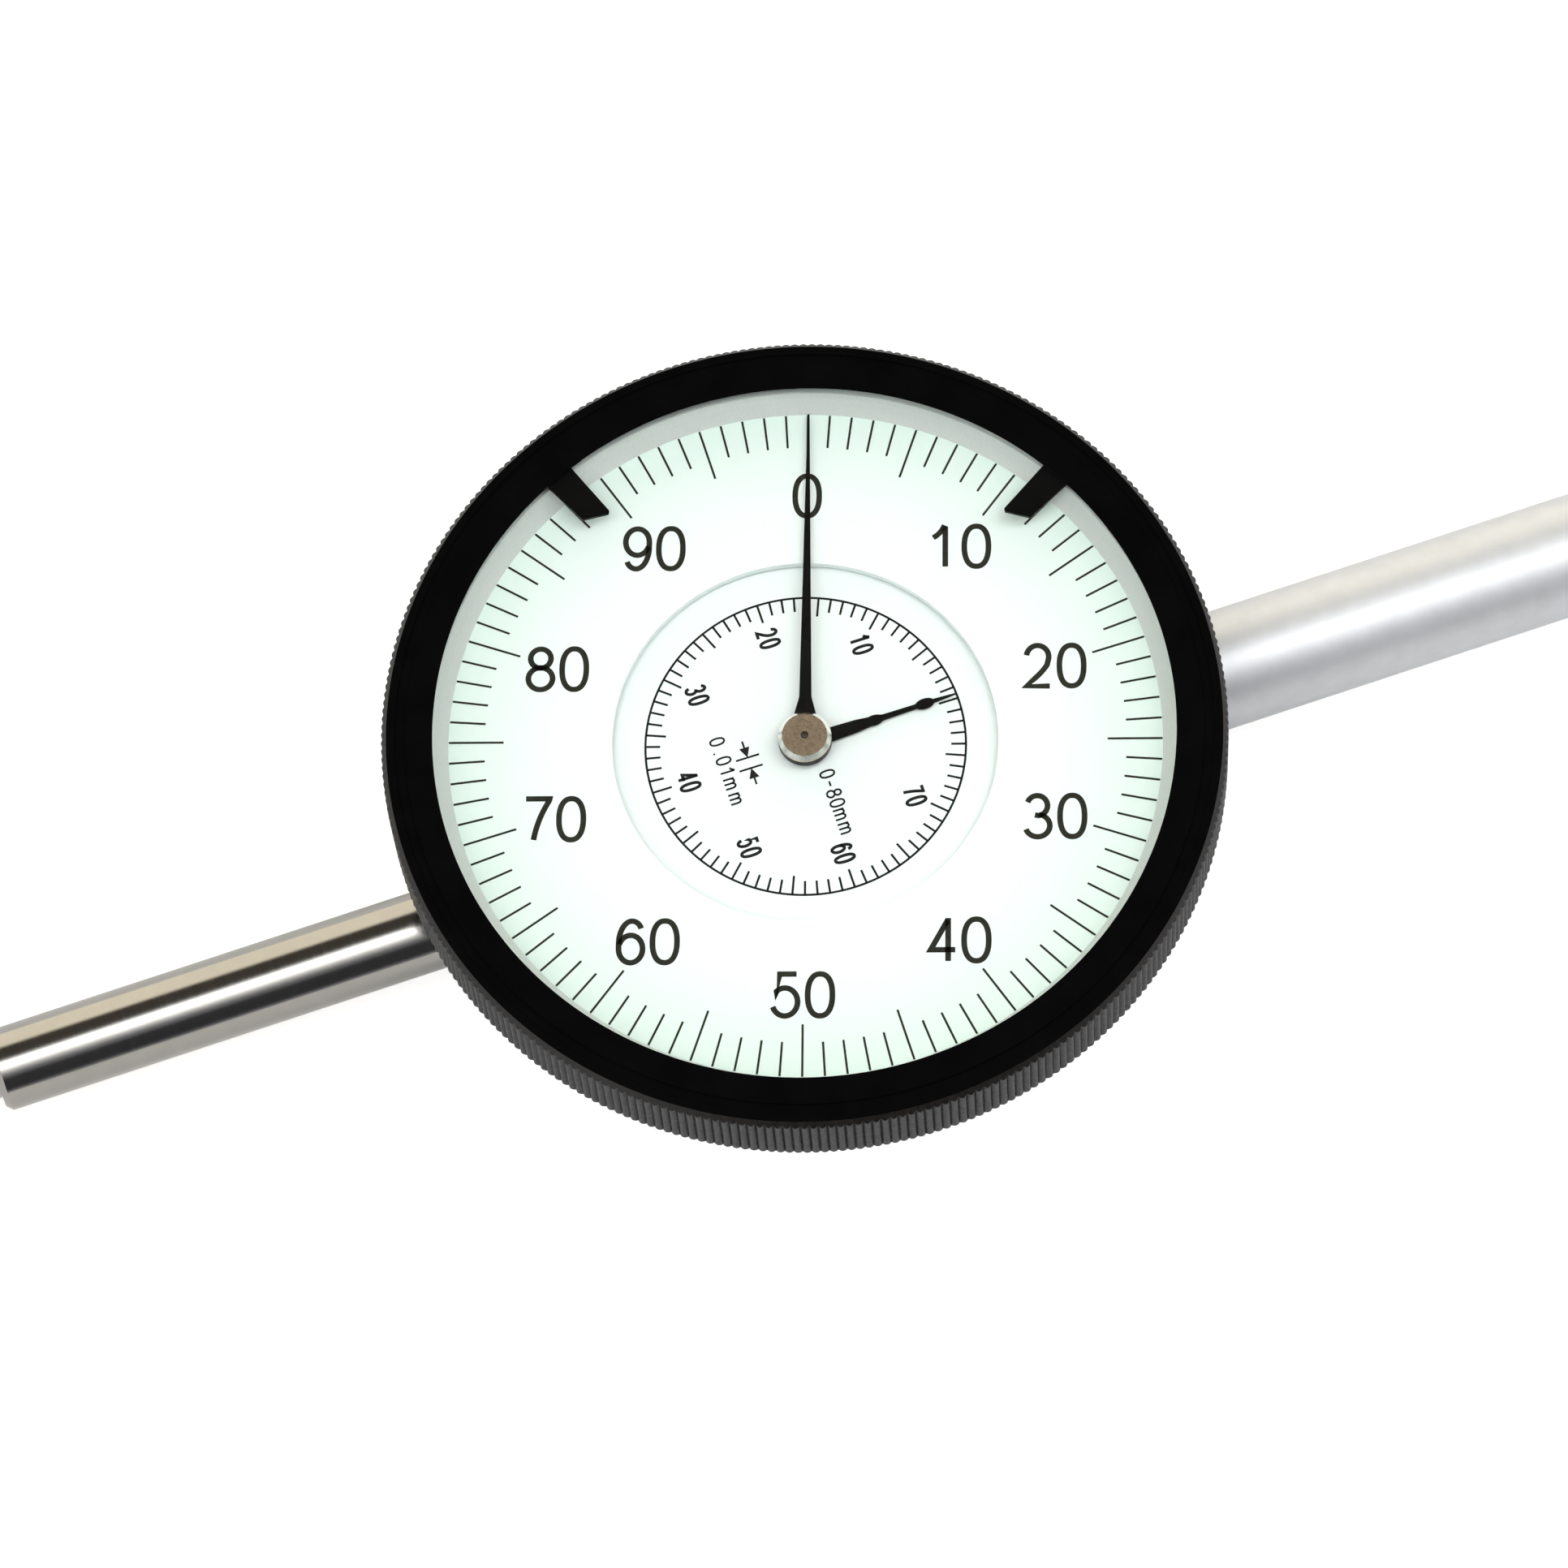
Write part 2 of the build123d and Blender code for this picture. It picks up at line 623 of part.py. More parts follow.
with BuildPart() as jewels:
    for at, underside, shaft in jewel_seats:
        with BuildSketch(level(at, underside)):
            Circle(jewel_radius)
            Circle(shaft + pivot_gap, mode=Mode.SUBTRACT)
        extrude(amount=jewel_thickness)
    # endstone that the centre arbor's lower pivot runs on
    with BuildSketch(level(centre_at, main_plate_bottom)):
        Circle(jewel_radius)
    extrude(amount=plate_thickness - jewel_thickness - 0.3)
jewels.part.label = "jewels"
export_step(jewels.part, "parts/jewels.step")


def gear(at, z, teeth, phase, thickness, bore):
    """Toothed disc over an arbor, made in the part that is open."""
    with BuildSketch(level(at, z)) as disc:
        with BuildLine():
            Polyline(*tooth_outline(teeth, phase), close=True)
        make_face()
        if bore > 0:
            Circle(bore, mode=Mode.SUBTRACT)
    extrude(disc.sketch, amount=thickness)


def shaft(at, z_from, z_to, radius):
    """Plain length of an arbor, made in the part that is open."""
    with BuildSketch(level(at, z_from)) as section:
        Circle(radius)
    extrude(section.sketch, amount=z_to - z_from)


# ================= rack arbor =================
wheel_level = main_plate_top + 0.7
rack_flat_half = sqrt(spindle_radius ** 2 - (rack_line + addendum) ** 2)
rack_pinion_half = rack_flat_half - 0.06
motion_level = bridge_top + 0.3
motion_thickness = 0.5

with BuildPart() as rack_arbor:
    shaft(rack_arbor_at, lower_plate_top - jewel_thickness + 0.1, lower_plate_top + end_shake, pivot_radius)
    shaft(rack_arbor_at, lower_plate_top + end_shake, bridge_bottom - end_shake, 0.6)
    gear(rack_arbor_at, axis_height - rack_pinion_half, rack_pinion_teeth, 0,
         2 * rack_pinion_half, 0)
    shaft(rack_arbor_at, bridge_bottom - end_shake, motion_level, journal_radius)
    gear(rack_arbor_at, motion_level, motion_pinion_teeth, 0, motion_thickness + 0.2, 0)
rack_arbor.part.label = "rack_arbor"
export_step(rack_arbor.part, "parts/rack_arbor.step")

with BuildPart() as rack_wheel:
    gear(rack_arbor_at, wheel_level, large_wheel_teeth, 0, wheel_thickness, 0.6 + fixed_gap)
    with BuildSketch(level(rack_arbor_at, wheel_level)):
        with PolarLocations(5.6, 5):
            Circle(2.3)
    extrude(amount=wheel_thickness, mode=Mode.SUBTRACT)
rack_wheel.part.label = "rack_wheel"
export_step(rack_wheel.part, "parts/rack_wheel.step")

# ================= centre arbor, main pointer =================
pointer_z = dial_z + 0.5
pointer_thickness = 0.25
pointer_length = bezel_radius - lip_width - 1.5
boss_radius = 2.55
boss_bottom = dial_z - 0.1
hub_top = dial_z + 1.43
rest_angle = 160.7           # the dial's zero mark, from +X

with BuildPart() as centre_arbor:
    shaft(centre_at, main_plate_top - jewel_thickness, main_plate_top + end_shake, pivot_radius)
    shaft(centre_at, main_plate_top + end_shake, hub_top - 0.35, centre_radius)
    gear(centre_at, wheel_level - 0.2, centre_pinion_teeth, centre_phase, wheel_thickness + 0.4, 0)
centre_arbor.part.label = "centre_arbor"
export_step(centre_arbor.part, "parts/centre_arbor.step")


def pointing(z):
    """Plane at height z whose x runs along the main pointer."""
    lead = (cos(radians(rest_angle)), sin(radians(rest_angle)), 0)
    return Plane(origin=(0, 0, z), x_dir=lead, z_dir=(0, 0, 1))


with BuildPart() as main_pointer:
    with BuildSketch(Plane.XY.offset(boss_bottom)):
        Circle(boss_radius)
    extrude(amount=pointer_z + pointer_thickness - boss_bottom)
    with BuildSketch(pointing(pointer_z)):
        with BuildLine():
            Polyline((0, 1.6), (2.2, 1.1), (4.2, 0.58), (pointer_length, 0.09),
                     (pointer_length, -0.09), (4.2, -0.58), (2.2, -1.1), (0, -1.6), close=True)
        make_face()
    extrude(amount=pointer_thickness)
    with BuildSketch(Plane.XY.offset(boss_bottom)):
        Circle(centre_radius + fixed_gap)
    extrude(amount=pointer_z + pointer_thickness - boss_bottom, mode=Mode.SUBTRACT)
main_pointer.part.label = "main_pointer"
export_step(main_pointer.part, "parts/main_pointer.step")

with BuildPart() as hub_cap:
    with BuildSketch(Plane.XZ):
        with BuildLine():
            Polyline(
                (centre_radius + fixed_gap, pointer_z + pointer_thickness),
                (boss_radius - 0.02, pointer_z + pointer_thickness),
                (boss_radius - 0.02, hub_top - 0.35),
                (boss_radius - 0.35, hub_top),
                (0.3, hub_top),
                (0, hub_top - 0.2),
                (0, hub_top - 0.32),
                (centre_radius + fixed_gap, hub_top - 0.32),
                close=True,
            )
        make_face()
    revolve(axis=Axis.Z)
hub_cap.part.label = "hub_cap"
export_step(hub_cap.part, "parts/hub_cap.step")

# ================= revolution hand =================
hand_z = dial_z - 0.7
hand_thickness = 0.2
hand_length = 15.1
pipe_bore = centre_radius + 0.1
pipe_radius = 1.05
hand_level = motion_level + motion_thickness + 0.4

with BuildPart() as hand_wheel:
    gear(centre_at, hand_level, hand_wheel_teeth, hand_wheel_phase, motion_thickness, pipe_bore)
    with BuildSketch(Plane.XY.offset(bridge_top + 0.15)):
        Circle(pipe_radius)
        Circle(pipe_bore, mode=Mode.SUBTRACT)
    extrude(amount=hand_z + hand_thickness - bridge_top - 0.15)
hand_wheel.part.label = "hand_wheel"
export_step(hand_wheel.part, "parts/hand_wheel.step")

with BuildPart() as revolution_hand:
    with BuildSketch(Plane.XY.offset(hand_z)):
        Circle(1.7)
        with BuildLine():
            Polyline((-0.8, 0), (-0.62, 5.2), (-0.28, 7.9), (-0.2, hand_length - 2.4),
                     (-0.05, hand_length), (0.05, hand_length), (0.2, hand_length - 2.4),
                     (0.28, 7.9), (0.62, 5.2), (0.8, 0), close=True)
        make_face()
        with Locations((0, 6.87), (0, 11.95)):
            Ellipse(0.52, 0.95)
        Circle(pipe_radius + fixed_gap, mode=Mode.SUBTRACT)
    extrude(amount=hand_thickness)
    with BuildSketch(Plane.XY.offset(hand_z - 0.25)):
        Circle(1.7)
        Circle(pipe_radius + fixed_gap, mode=Mode.SUBTRACT)
    extrude(amount=hand_thickness + 0.25)
revolution_hand.part.label = "revolution_hand"
export_step(revolution_hand.part, "parts/revolution_hand.step")

# ================= reduction wheel =================
with BuildPart() as reduction_wheel:
    gear(reduction_at, motion_level + 0.1, reduction_wheel_teeth, reduction_phase,
         motion_thickness, centre_radius + running_gap)
    gear(reduction_at, motion_level + 0.1 + motion_thickness, reduction_pinion_teeth, 0,
         hand_level - motion_level + 0.2, centre_radius + running_gap)
reduction_wheel.part.label = "reduction_wheel"
export_step(reduction_wheel.part, "parts/reduction_wheel.step")

with BuildPart() as reduction_stud:
    stud_top = hand_level + motion_thickness + 0.5
    shaft(reduction_at, bridge_bottom + 0.2, stud_top, centre_radius)
    shaft(reduction_at, stud_top, stud_top + 0.3, 1.0)
reduction_stud.part.label = "reduction_stud"
export_step(reduction_stud.part, "parts/reduction_stud.step")

# ================= take-up wheel and hairspring =================
hairspring_inner = 1.45
hairspring_outer = 5.9
hairspring_level = wheel_level + wheel_thickness + 0.7
hairspring_height = 0.6
stud_angle = 0

with BuildPart() as takeup_arbor:
    shaft(takeup_at, main_plate_top - jewel_thickness + 0.1, main_plate_top + end_shake, pivot_radius)
    shaft(takeup_at, main_plate_top + end_shake, bridge_bottom - end_shake, 0.5)
    shaft(takeup_at, bridge_bottom - end_shake, bridge_bottom + jewel_thickness - 0.1, pivot_radius)
takeup_arbor.part.label = "takeup_arbor"
export_step(takeup_arbor.part, "parts/takeup_arbor.step")

with BuildPart() as takeup_wheel:
    gear(takeup_at, wheel_level, large_wheel_teeth, takeup_phase, wheel_thickness, 0.5 + fixed_gap)
    with BuildSketch(level(takeup_at, wheel_level)):
        with PolarLocations(5.6, 5):
            Circle(2.3)
    extrude(amount=wheel_thickness, mode=Mode.SUBTRACT)
takeup_wheel.part.label = "takeup_wheel"
export_step(takeup_wheel.part, "parts/takeup_wheel.step")

with BuildPart() as hairspring_collet:
    with BuildSketch(level(takeup_at, wheel_level + wheel_thickness + 0.3)):
        Circle(1.2)
        Circle(0.5 + fixed_gap, mode=Mode.SUBTRACT)
    extrude(amount=1.1)
hairspring_collet.part.label = "hairspring_collet"
export_step(hairspring_collet.part, "parts/hairspring_collet.step")

with BuildPart() as hairspring:
    with BuildSketch(level(takeup_at, hairspring_level)):
        with BuildLine():
            Polyline(*spiral_band(hairspring_inner, hairspring_outer, 7, 0.12, stud_angle), close=True)
        make_face()
    extrude(amount=hairspring_height)
hairspring.part.label = "hairspring"
export_step(hairspring.part, "parts/hairspring.step")

with BuildPart() as hairspring_stud:
    stud_at = (takeup_at[0] + hairspring_outer + 0.12 + 0.6, takeup_at[1])
    shaft(stud_at, hairspring_level - 0.1, bridge_bottom, 0.6)
hairspring_stud.part.label = "hairspring_stud"
export_step(hairspring_stud.part, "parts/hairspring_stud.step")

# ================= spring barrel =================
post_radius = 1.2
barrel_wheel_z = axis_height - 0.4
barrel_thickness = 0.8
drum_radius = pitch_radius(barrel_teeth) - dedendum
drum_wall = 0.5
drum_floor = lower_plate_top + 0.5
mainspring_inner = post_radius
mainspring_outer = drum_radius - drum_wall - 0.75

with BuildPart() as barrel_post:
    shaft(barrel_at, lower_plate_top, main_plate_bottom, post_radius)
barrel_post.part.label = "barrel_post"
export_step(barrel_post.part, "parts/barrel_post.step")

with BuildPart() as barrel_gear:
    gear(barrel_at, barrel_wheel_z, barrel_teeth, barrel_phase, barrel_thickness,
         post_radius + running_gap)
    with BuildSketch(level(barrel_at, drum_floor + drum_wall)):
        Circle(drum_radius)
        Circle(drum_radius - drum_wall, mode=Mode.SUBTRACT)
    extrude(amount=barrel_wheel_z - drum_floor - drum_wall)
    with BuildSketch(level(barrel_at, barrel_wheel_z + barrel_thickness)):
        Circle(post_radius + 1)
        Circle(post_radius + running_gap, mode=Mode.SUBTRACT)
    extrude(amount=main_plate_bottom - barrel_wheel_z - barrel_thickness - 0.3)
barrel_gear.part.label = "barrel_gear"
export_step(barrel_gear.part, "parts/barrel_gear.step")

with BuildPart() as barrel_cover:
    with BuildSketch(level(barrel_at, drum_floor)):
        Circle(drum_radius)
        Circle(post_radius + running_gap, mode=Mode.SUBTRACT)
    extrude(amount=drum_wall)
barrel_cover.part.label = "barrel_cover"
export_step(barrel_cover.part, "parts/barrel_cover.step")

with BuildPart() as mainspring:
    with BuildSketch(level(barrel_at, drum_floor + drum_wall + 0.25)):
        with BuildLine():
            Polyline(*spiral_band(mainspring_inner, mainspring_outer, 5, 0.3), close=True)
        make_face()
    extrude(amount=barrel_wheel_z - drum_floor - drum_wall - 0.5)
mainspring.part.label = "mainspring"
export_step(mainspring.part, "parts/mainspring.step")

# ================= fixed inner dial =================
inner_dial_top = dial_z - inner_dial_drop
dial_thickness = 0.8
inner_dial_radius = inner_dial_hole / 2 + 1.7

with BuildPart() as inner_dial:
    with BuildSketch(Plane.XY.offset(inner_dial_top - dial_thickness)):
        Circle(inner_dial_radius)
        Circle(pipe_radius + moving_gap, mode=Mode.SUBTRACT)
    extrude(amount=dial_thickness)
    with BuildSketch(Plane.XY.offset(bridge_bottom + 0.2)):
        with Locations(*dial_feet_at):
            Circle(dial_foot_radius)
    extrude(amount=inner_dial_top - dial_thickness - bridge_bottom - 0.2)
inner_dial.part.label = "inner_dial"
export_step(inner_dial.part, "parts/inner_dial.step")

with BuildPart() as dial_spacers:
    with BuildSketch(Plane.XY.offset(bridge_top)):
        with Locations(*dial_feet_at):
            Circle(dial_foot_radius + 0.8)
            Circle(dial_foot_radius + fixed_gap, mode=Mode.SUBTRACT)
    extrude(amount=inner_dial_top - dial_thickness - bridge_top)
dial_spacers.part.label = "dial_spacers"
export_step(dial_spacers.part, "parts/dial_spacers.step")

# ================= bezel =================
window_radius = bezel_radius - lip_width
lip_thickness = 0.5
pointer_groove_depth = 2.5
tab_thickness = 0.35
lip_bottom = bezel_top - lip_thickness
crystal_top = lip_bottom - tab_thickness - 2 * slide_gap
crystal_thickness = 0.8
crystal_bottom = crystal_top - crystal_thickness
seal_thickness = 0.3
dial_edge_radius = window_radius - 1.25
grip_chamfer = 0.35
face_groove_inner = bezel_radius - 2.3
face_groove_outer = bezel_radius - 1.3
face_groove_depth = 0.3
bezel_seat = bezel_bore - fixed_gap
bezel_groove_radius = wire_path_radius + wire_radius + moving_gap

with BuildPart() as bezel_ring:
    with BuildSketch(Plane.XZ):
        with BuildLine():
            Polyline(
                (bezel_radius - grip_chamfer, bezel_bottom),
                (bezel_radius, bezel_bottom + grip_chamfer),
                (bezel_radius, bezel_top - grip_chamfer),
                (bezel_radius - grip_chamfer, bezel_top),
                (face_groove_outer, bezel_top),
                (face_groove_outer - 0.1, bezel_top - face_groove_depth),
                (face_groove_inner + 0.1, bezel_top - face_groove_depth),
                (face_groove_inner, bezel_top),
                (window_radius + 0.15, bezel_top),
                (window_radius, bezel_top - 0.15),
                (window_radius, lip_bottom),
                (window_radius + pointer_groove_depth, lip_bottom),
                (window_radius + pointer_groove_depth, crystal_top),
                (bezel_bore, crystal_top),
                (bezel_bore, wire_z + wire_groove_half),
                (bezel_groove_radius, wire_z + wire_groove_half),
                (bezel_groove_radius, wire_z - wire_groove_half),
                (bezel_bore, wire_z - wire_groove_half),
                (bezel_bore, bezel_bottom),
                close=True,
            )
        make_face()
    revolve(axis=Axis.Z)
bezel_ring.part.label = "bezel_ring"
export_step(bezel_ring.part, "parts/bezel_ring.step")

with BuildPart() as crystal:
    with BuildSketch(Plane.XY.offset(crystal_bottom)):
        Circle(bezel_seat)
    extrude(amount=crystal_thickness)
crystal.part.label = "crystal"
export_step(crystal.part, "parts/crystal.step")

with BuildPart() as crystal_seal:
    with BuildSketch(Plane.XY.offset(crystal_bottom - seal_thickness)):
        Circle(bezel_seat)
        Circle(window_radius + 0.8, mode=Mode.SUBTRACT)
    extrude(amount=seal_thickness)
crystal_seal.part.label = "crystal_seal"
export_step(crystal_seal.part, "parts/crystal_seal.step")

with BuildPart() as spacer_ring:
    with BuildSketch(Plane.XZ):
        with BuildLine():
            Polyline(
                (dial_edge_radius, dial_z),
                (bezel_seat, dial_z),
                (bezel_seat, crystal_bottom - seal_thickness),
                (window_radius + 0.3, crystal_bottom - seal_thickness),
                close=True,
            )
        make_face()
    revolve(axis=Axis.Z)
spacer_ring.part.label = "spacer_ring"
export_step(spacer_ring.part, "parts/spacer_ring.step")

with BuildPart() as outer_dial:
    with BuildSketch(Plane.XY.offset(dial_z - dial_thickness)):
        Circle(bezel_seat)
        Circle(inner_dial_hole / 2, mode=Mode.SUBTRACT)
    extrude(amount=dial_thickness)
outer_dial.part.label = "outer_dial"
export_step(outer_dial.part, "parts/outer_dial.step")

with BuildPart() as dial_retainer:
    with BuildSketch(Plane.XY.offset(dial_z - dial_thickness - 1.0)):
        Circle(bezel_seat)
        Circle(rim_radius - rim_wall, mode=Mode.SUBTRACT)
    extrude(amount=1.0)
dial_retainer.part.label = "dial_retainer"
export_step(dial_retainer.part, "parts/dial_retainer.step")

with BuildPart() as bezel_spring:
    with BuildSketch(Plane.XZ):
        with Locations((wire_path_radius, wire_z)):
            Circle(wire_radius)
    revolve(axis=Axis.Z, revolution_arc=335)
bezel_spring.part.label = "bezel_spring"
export_step(bezel_spring.part, "parts/bezel_spring.step")

# ================= limit pointers =================
tab_from_zero = 39.8         # index edge, degrees each side of the zero mark
tab_spread = 4.8             # degrees between the tab's two sides
tab_tip = window_radius - 5.9
tab_bevel = 1.25
tab_foot_spread = 9.0        # degrees
tab_foot_inner = window_radius + 0.3
tab_foot_outer = window_radius + pointer_groove_depth - 0.25


def limit_pointer(side):
    """Tab in the bezel's groove; side is 1 anticlockwise of zero, -1 clockwise."""
    foot_start = tab_from_zero + (tab_spread - tab_foot_spread) / 2

    def polar(radius, from_zero):
        return on_circle(radius, rest_angle + side * from_zero)[0]

    with BuildPart() as tab:
        with BuildSketch(Plane.XY.offset(crystal_top + slide_gap)):
            with BuildLine():
                Polyline(polar(tab_foot_inner + 0.5, tab_from_zero),
                         polar(tab_tip + 0.25, tab_from_zero),
                         polar(tab_tip + 0.05, tab_from_zero + 0.1 * tab_spread),
                         polar(tab_tip + tab_bevel, tab_from_zero + tab_spread),
                         polar(tab_foot_inner + 0.5, tab_from_zero + tab_spread), close=True)
            make_face()
            with BuildLine():
                outer = [polar(tab_foot_outer, foot_start + share * tab_foot_spread)
                         for share in (0, 0.5, 1)]
                inner = [polar(tab_foot_inner, foot_start + share * tab_foot_spread)
                         for share in (1, 0.5, 0)]
                ThreePointArc(*outer)
                Line(outer[2], inner[0])
                ThreePointArc(*inner)
                Line(inner[2], outer[0])
            make_face()
        extrude(amount=tab_thickness)
    return tab


limit_pointer_left = limit_pointer(1)
limit_pointer_left.part.label = "limit_pointer_left"
export_step(limit_pointer_left.part, "parts/limit_pointer_left.step")

limit_pointer_right = limit_pointer(-1)
limit_pointer_right.part.label = "limit_pointer_right"
export_step(limit_pointer_right.part, "parts/limit_pointer_right.step")
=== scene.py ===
import json
import math

import bmesh
import bpy
from mathutils import Matrix, Vector


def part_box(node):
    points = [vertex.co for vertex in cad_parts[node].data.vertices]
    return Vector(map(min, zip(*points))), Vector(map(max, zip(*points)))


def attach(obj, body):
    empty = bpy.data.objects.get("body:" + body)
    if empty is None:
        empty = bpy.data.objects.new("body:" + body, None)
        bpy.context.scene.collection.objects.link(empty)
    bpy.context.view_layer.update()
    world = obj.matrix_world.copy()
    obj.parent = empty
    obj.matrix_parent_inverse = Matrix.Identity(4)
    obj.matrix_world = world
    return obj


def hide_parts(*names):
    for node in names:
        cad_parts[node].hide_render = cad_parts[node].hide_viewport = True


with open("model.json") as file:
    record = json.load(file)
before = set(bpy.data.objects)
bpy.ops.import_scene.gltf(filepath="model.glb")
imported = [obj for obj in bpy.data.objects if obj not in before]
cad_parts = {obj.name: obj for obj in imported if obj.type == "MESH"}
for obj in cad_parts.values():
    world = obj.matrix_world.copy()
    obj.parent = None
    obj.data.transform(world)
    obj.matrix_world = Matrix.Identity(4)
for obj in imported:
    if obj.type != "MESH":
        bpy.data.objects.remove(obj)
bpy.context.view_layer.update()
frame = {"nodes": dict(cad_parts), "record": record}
nodes = frame["nodes"]
mm = 0.001

bpy.context.scene.view_settings.view_transform = "Standard"

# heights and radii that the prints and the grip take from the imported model
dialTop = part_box("outer_dial")[1].z
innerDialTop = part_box("inner_dial")[1].z
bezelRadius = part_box("bezel_ring")[1].x


def nearestToCentre(node):
    # smallest distance of a round node's surface from the dial's centre line
    return min(v.co.xy.length for v in nodes[node].data.vertices)


scaleOuterEdge = nearestToCentre("spacer_ring")
windowRadius = nearestToCentre("bezel_ring")
pointerTip = max(nodes["main_pointer"].data.vertices, key=lambda v: v.co.xy.length).co.copy()
zeroAngle = math.atan2(pointerTip.y, pointerTip.x)  # the zero mark's direction on the turning dial


camera = {
    "aim": Vector((3.44, -3.28, 25.0)) * mm,
    "distance": 745.4 * mm,
    "elevation": 67.93,
    "azimuth": -12.93,  # from +X, anticlockwise
    "roll": 6.15,
    "lens": 181.16,
    "near": 0.01,
    "far": 50,
}


def placeCamera():
    elevation, azimuth, roll = (
        math.radians(camera[k]) for k in ("elevation", "azimuth", "roll"))
    back = Vector((math.cos(elevation) * math.cos(azimuth),
                   math.cos(elevation) * math.sin(azimuth), math.sin(elevation)))
    upright = (Vector((0, 0, 1)) - back * back.z).normalized()
    level = upright.cross(back)
    up = upright * math.cos(roll) + level * math.sin(roll)
    right = up.cross(back)
    data = bpy.data.cameras.new("camera")
    data.lens = camera["lens"]
    data.clip_start, data.clip_end = camera["near"], camera["far"]
    obj = bpy.data.objects.new("camera", data)
    turn = Matrix((right, up, back)).transposed().to_4x4()
    obj.matrix_world = Matrix.Translation(camera["aim"] + back * camera["distance"]) @ turn
    bpy.context.scene.collection.objects.link(obj)
    bpy.context.scene.camera = obj


studio = {
    "floorSize": 30.0,
    "floorDrop": 0.2 * mm,  # under the back face
    "floorRoughness": 0.9,
    "floorColour": (0.78, 0.78, 0.78),
    "floorGlow": 0.66,  # lifts the floor to paper white without burning out the object
    "strength": 4.9,
    # the tent round the object's long axis: degrees from straight up towards +X, and the light
    # there. The dark gap beside the overhead panel is what the black face and the crystal mirror.
    "tent": [(-90, (0.25, 0.23, 0.19)), (-46, (0.25, 0.23, 0.19)), (-37, (0.014, 0.012, 0.010)),
             (-13, (0.014, 0.012, 0.010)), (-7, (0.03, 0.03, 0.03)), (0, (0.25, 0.25, 0.25)),
             (5, (1, 1, 1)), (13, (1, 1, 1)), (20, (0.42, 0.42, 0.42)), (29, (0.17, 0.17, 0.175)),
             (38, (0.055, 0.056, 0.06)), (50, (0.010, 0.010, 0.011)), (80, (0.009, 0.009, 0.010)),
             (90, (0.06, 0.06, 0.066))],
    "ends": (0.11, 0.11, 0.11),  # the tent's two ends
    "endsFrom": 0.45,  # how far a direction leans along Y where they set in
    "endsTo": 0.80,  # and where they are full
    "paper": (0.23, 0.23, 0.23),  # what is seen past the floor's edge
}


def newObject(name, mesh):
    obj = bpy.data.objects.new(name, mesh)
    bpy.context.scene.collection.objects.link(obj)
    return obj


def placeStudio():
    half = studio["floorSize"] / 2
    mesh = bpy.data.meshes.new("floor")
    corners = [(-half, -half, 0), (half, -half, 0), (half, half, 0), (-half, half, 0)]
    mesh.from_pydata(corners, [], [(0, 1, 2, 3)])
    floor = newObject("floor", mesh)
    floor.location.z = -studio["floorDrop"]
    material = bpy.data.materials.new("paper_floor")
    material.use_nodes = True
    shader = material.node_tree.nodes["Principled BSDF"]
    shader.inputs["Base Color"].default_value = (*studio["floorColour"], 1)
    shader.inputs["Roughness"].default_value = studio["floorRoughness"]
    shader.inputs["Emission Color"].default_value = (1, 1, 1, 1)
    # only what the camera sees directly glows, so the metal still mirrors a darker floor
    seen = material.node_tree.nodes.new("ShaderNodeLightPath")
    glow = material.node_tree.nodes.new("ShaderNodeMath")
    glow.operation = "MULTIPLY"
    glow.inputs[1].default_value = studio["floorGlow"]
    material.node_tree.links.new(seen.outputs["Is Camera Ray"], glow.inputs[0])
    material.node_tree.links.new(glow.outputs["Value"], shader.inputs["Emission Strength"])
    mesh.materials.append(material)

    world = bpy.data.worlds.new("light_tent")
    bpy.context.scene.world = world
    world.use_nodes = True
    tree = world.node_tree
    background = tree.nodes["Background"]
    background.inputs["Strength"].default_value = studio["strength"]
    where = tree.nodes.new("ShaderNodeTexCoord")
    split = tree.nodes.new("ShaderNodeSeparateXYZ")
    tilt = tree.nodes.new("ShaderNodeMath")
    tilt.operation = "ARCTAN2"
    share = tree.nodes.new("ShaderNodeMapRange")
    share.inputs["From Min"].default_value = -math.pi / 2
    share.inputs["From Max"].default_value = math.pi / 2
    bands = tree.nodes.new("ShaderNodeValToRGB")
    stops = bands.color_ramp.elements
    while len(stops) < len(studio["tent"]):
        stops.new(0.5)
    for stop, (angle, light) in zip(stops, studio["tent"]):
        stop.position = (angle + 90) / 180
        stop.color = (*light, 1)
    along = tree.nodes.new("ShaderNodeMath")
    along.operation = "ABSOLUTE"
    endShare = tree.nodes.new("ShaderNodeMapRange")
    endShare.inputs["From Min"].default_value = studio["endsFrom"]
    endShare.inputs["From Max"].default_value = studio["endsTo"]
    ends = tree.nodes.new("ShaderNodeMix")
    ends.data_type = "RGBA"
    ends.inputs[7].default_value = (*studio["ends"], 1)
    sight = tree.nodes.new("ShaderNodeLightPath")
    paper = tree.nodes.new("ShaderNodeMix")
    paper.data_type = "RGBA"
    paper.inputs[7].default_value = (*studio["paper"], 1)
    for source, target in (
            (where.outputs["Generated"], split.inputs["Vector"]),
            (split.outputs["X"], tilt.inputs[0]),
            (split.outputs["Z"], tilt.inputs[1]),
            (tilt.outputs["Value"], share.inputs["Value"]),
            (share.outputs["Result"], bands.inputs["Fac"]),
            (split.outputs["Y"], along.inputs[0]),
            (along.outputs["Value"], endShare.inputs["Value"]),
            (endShare.outputs["Result"], ends.inputs[0]),
            (bands.outputs["Color"], ends.inputs[6]),
            (sight.outputs["Is Camera Ray"], paper.inputs[0]),
            (ends.outputs[2], paper.inputs[6]),
            (paper.outputs[2], background.inputs["Color"])):
        tree.links.new(source, target)
    print("studio: floor and banded light tent")


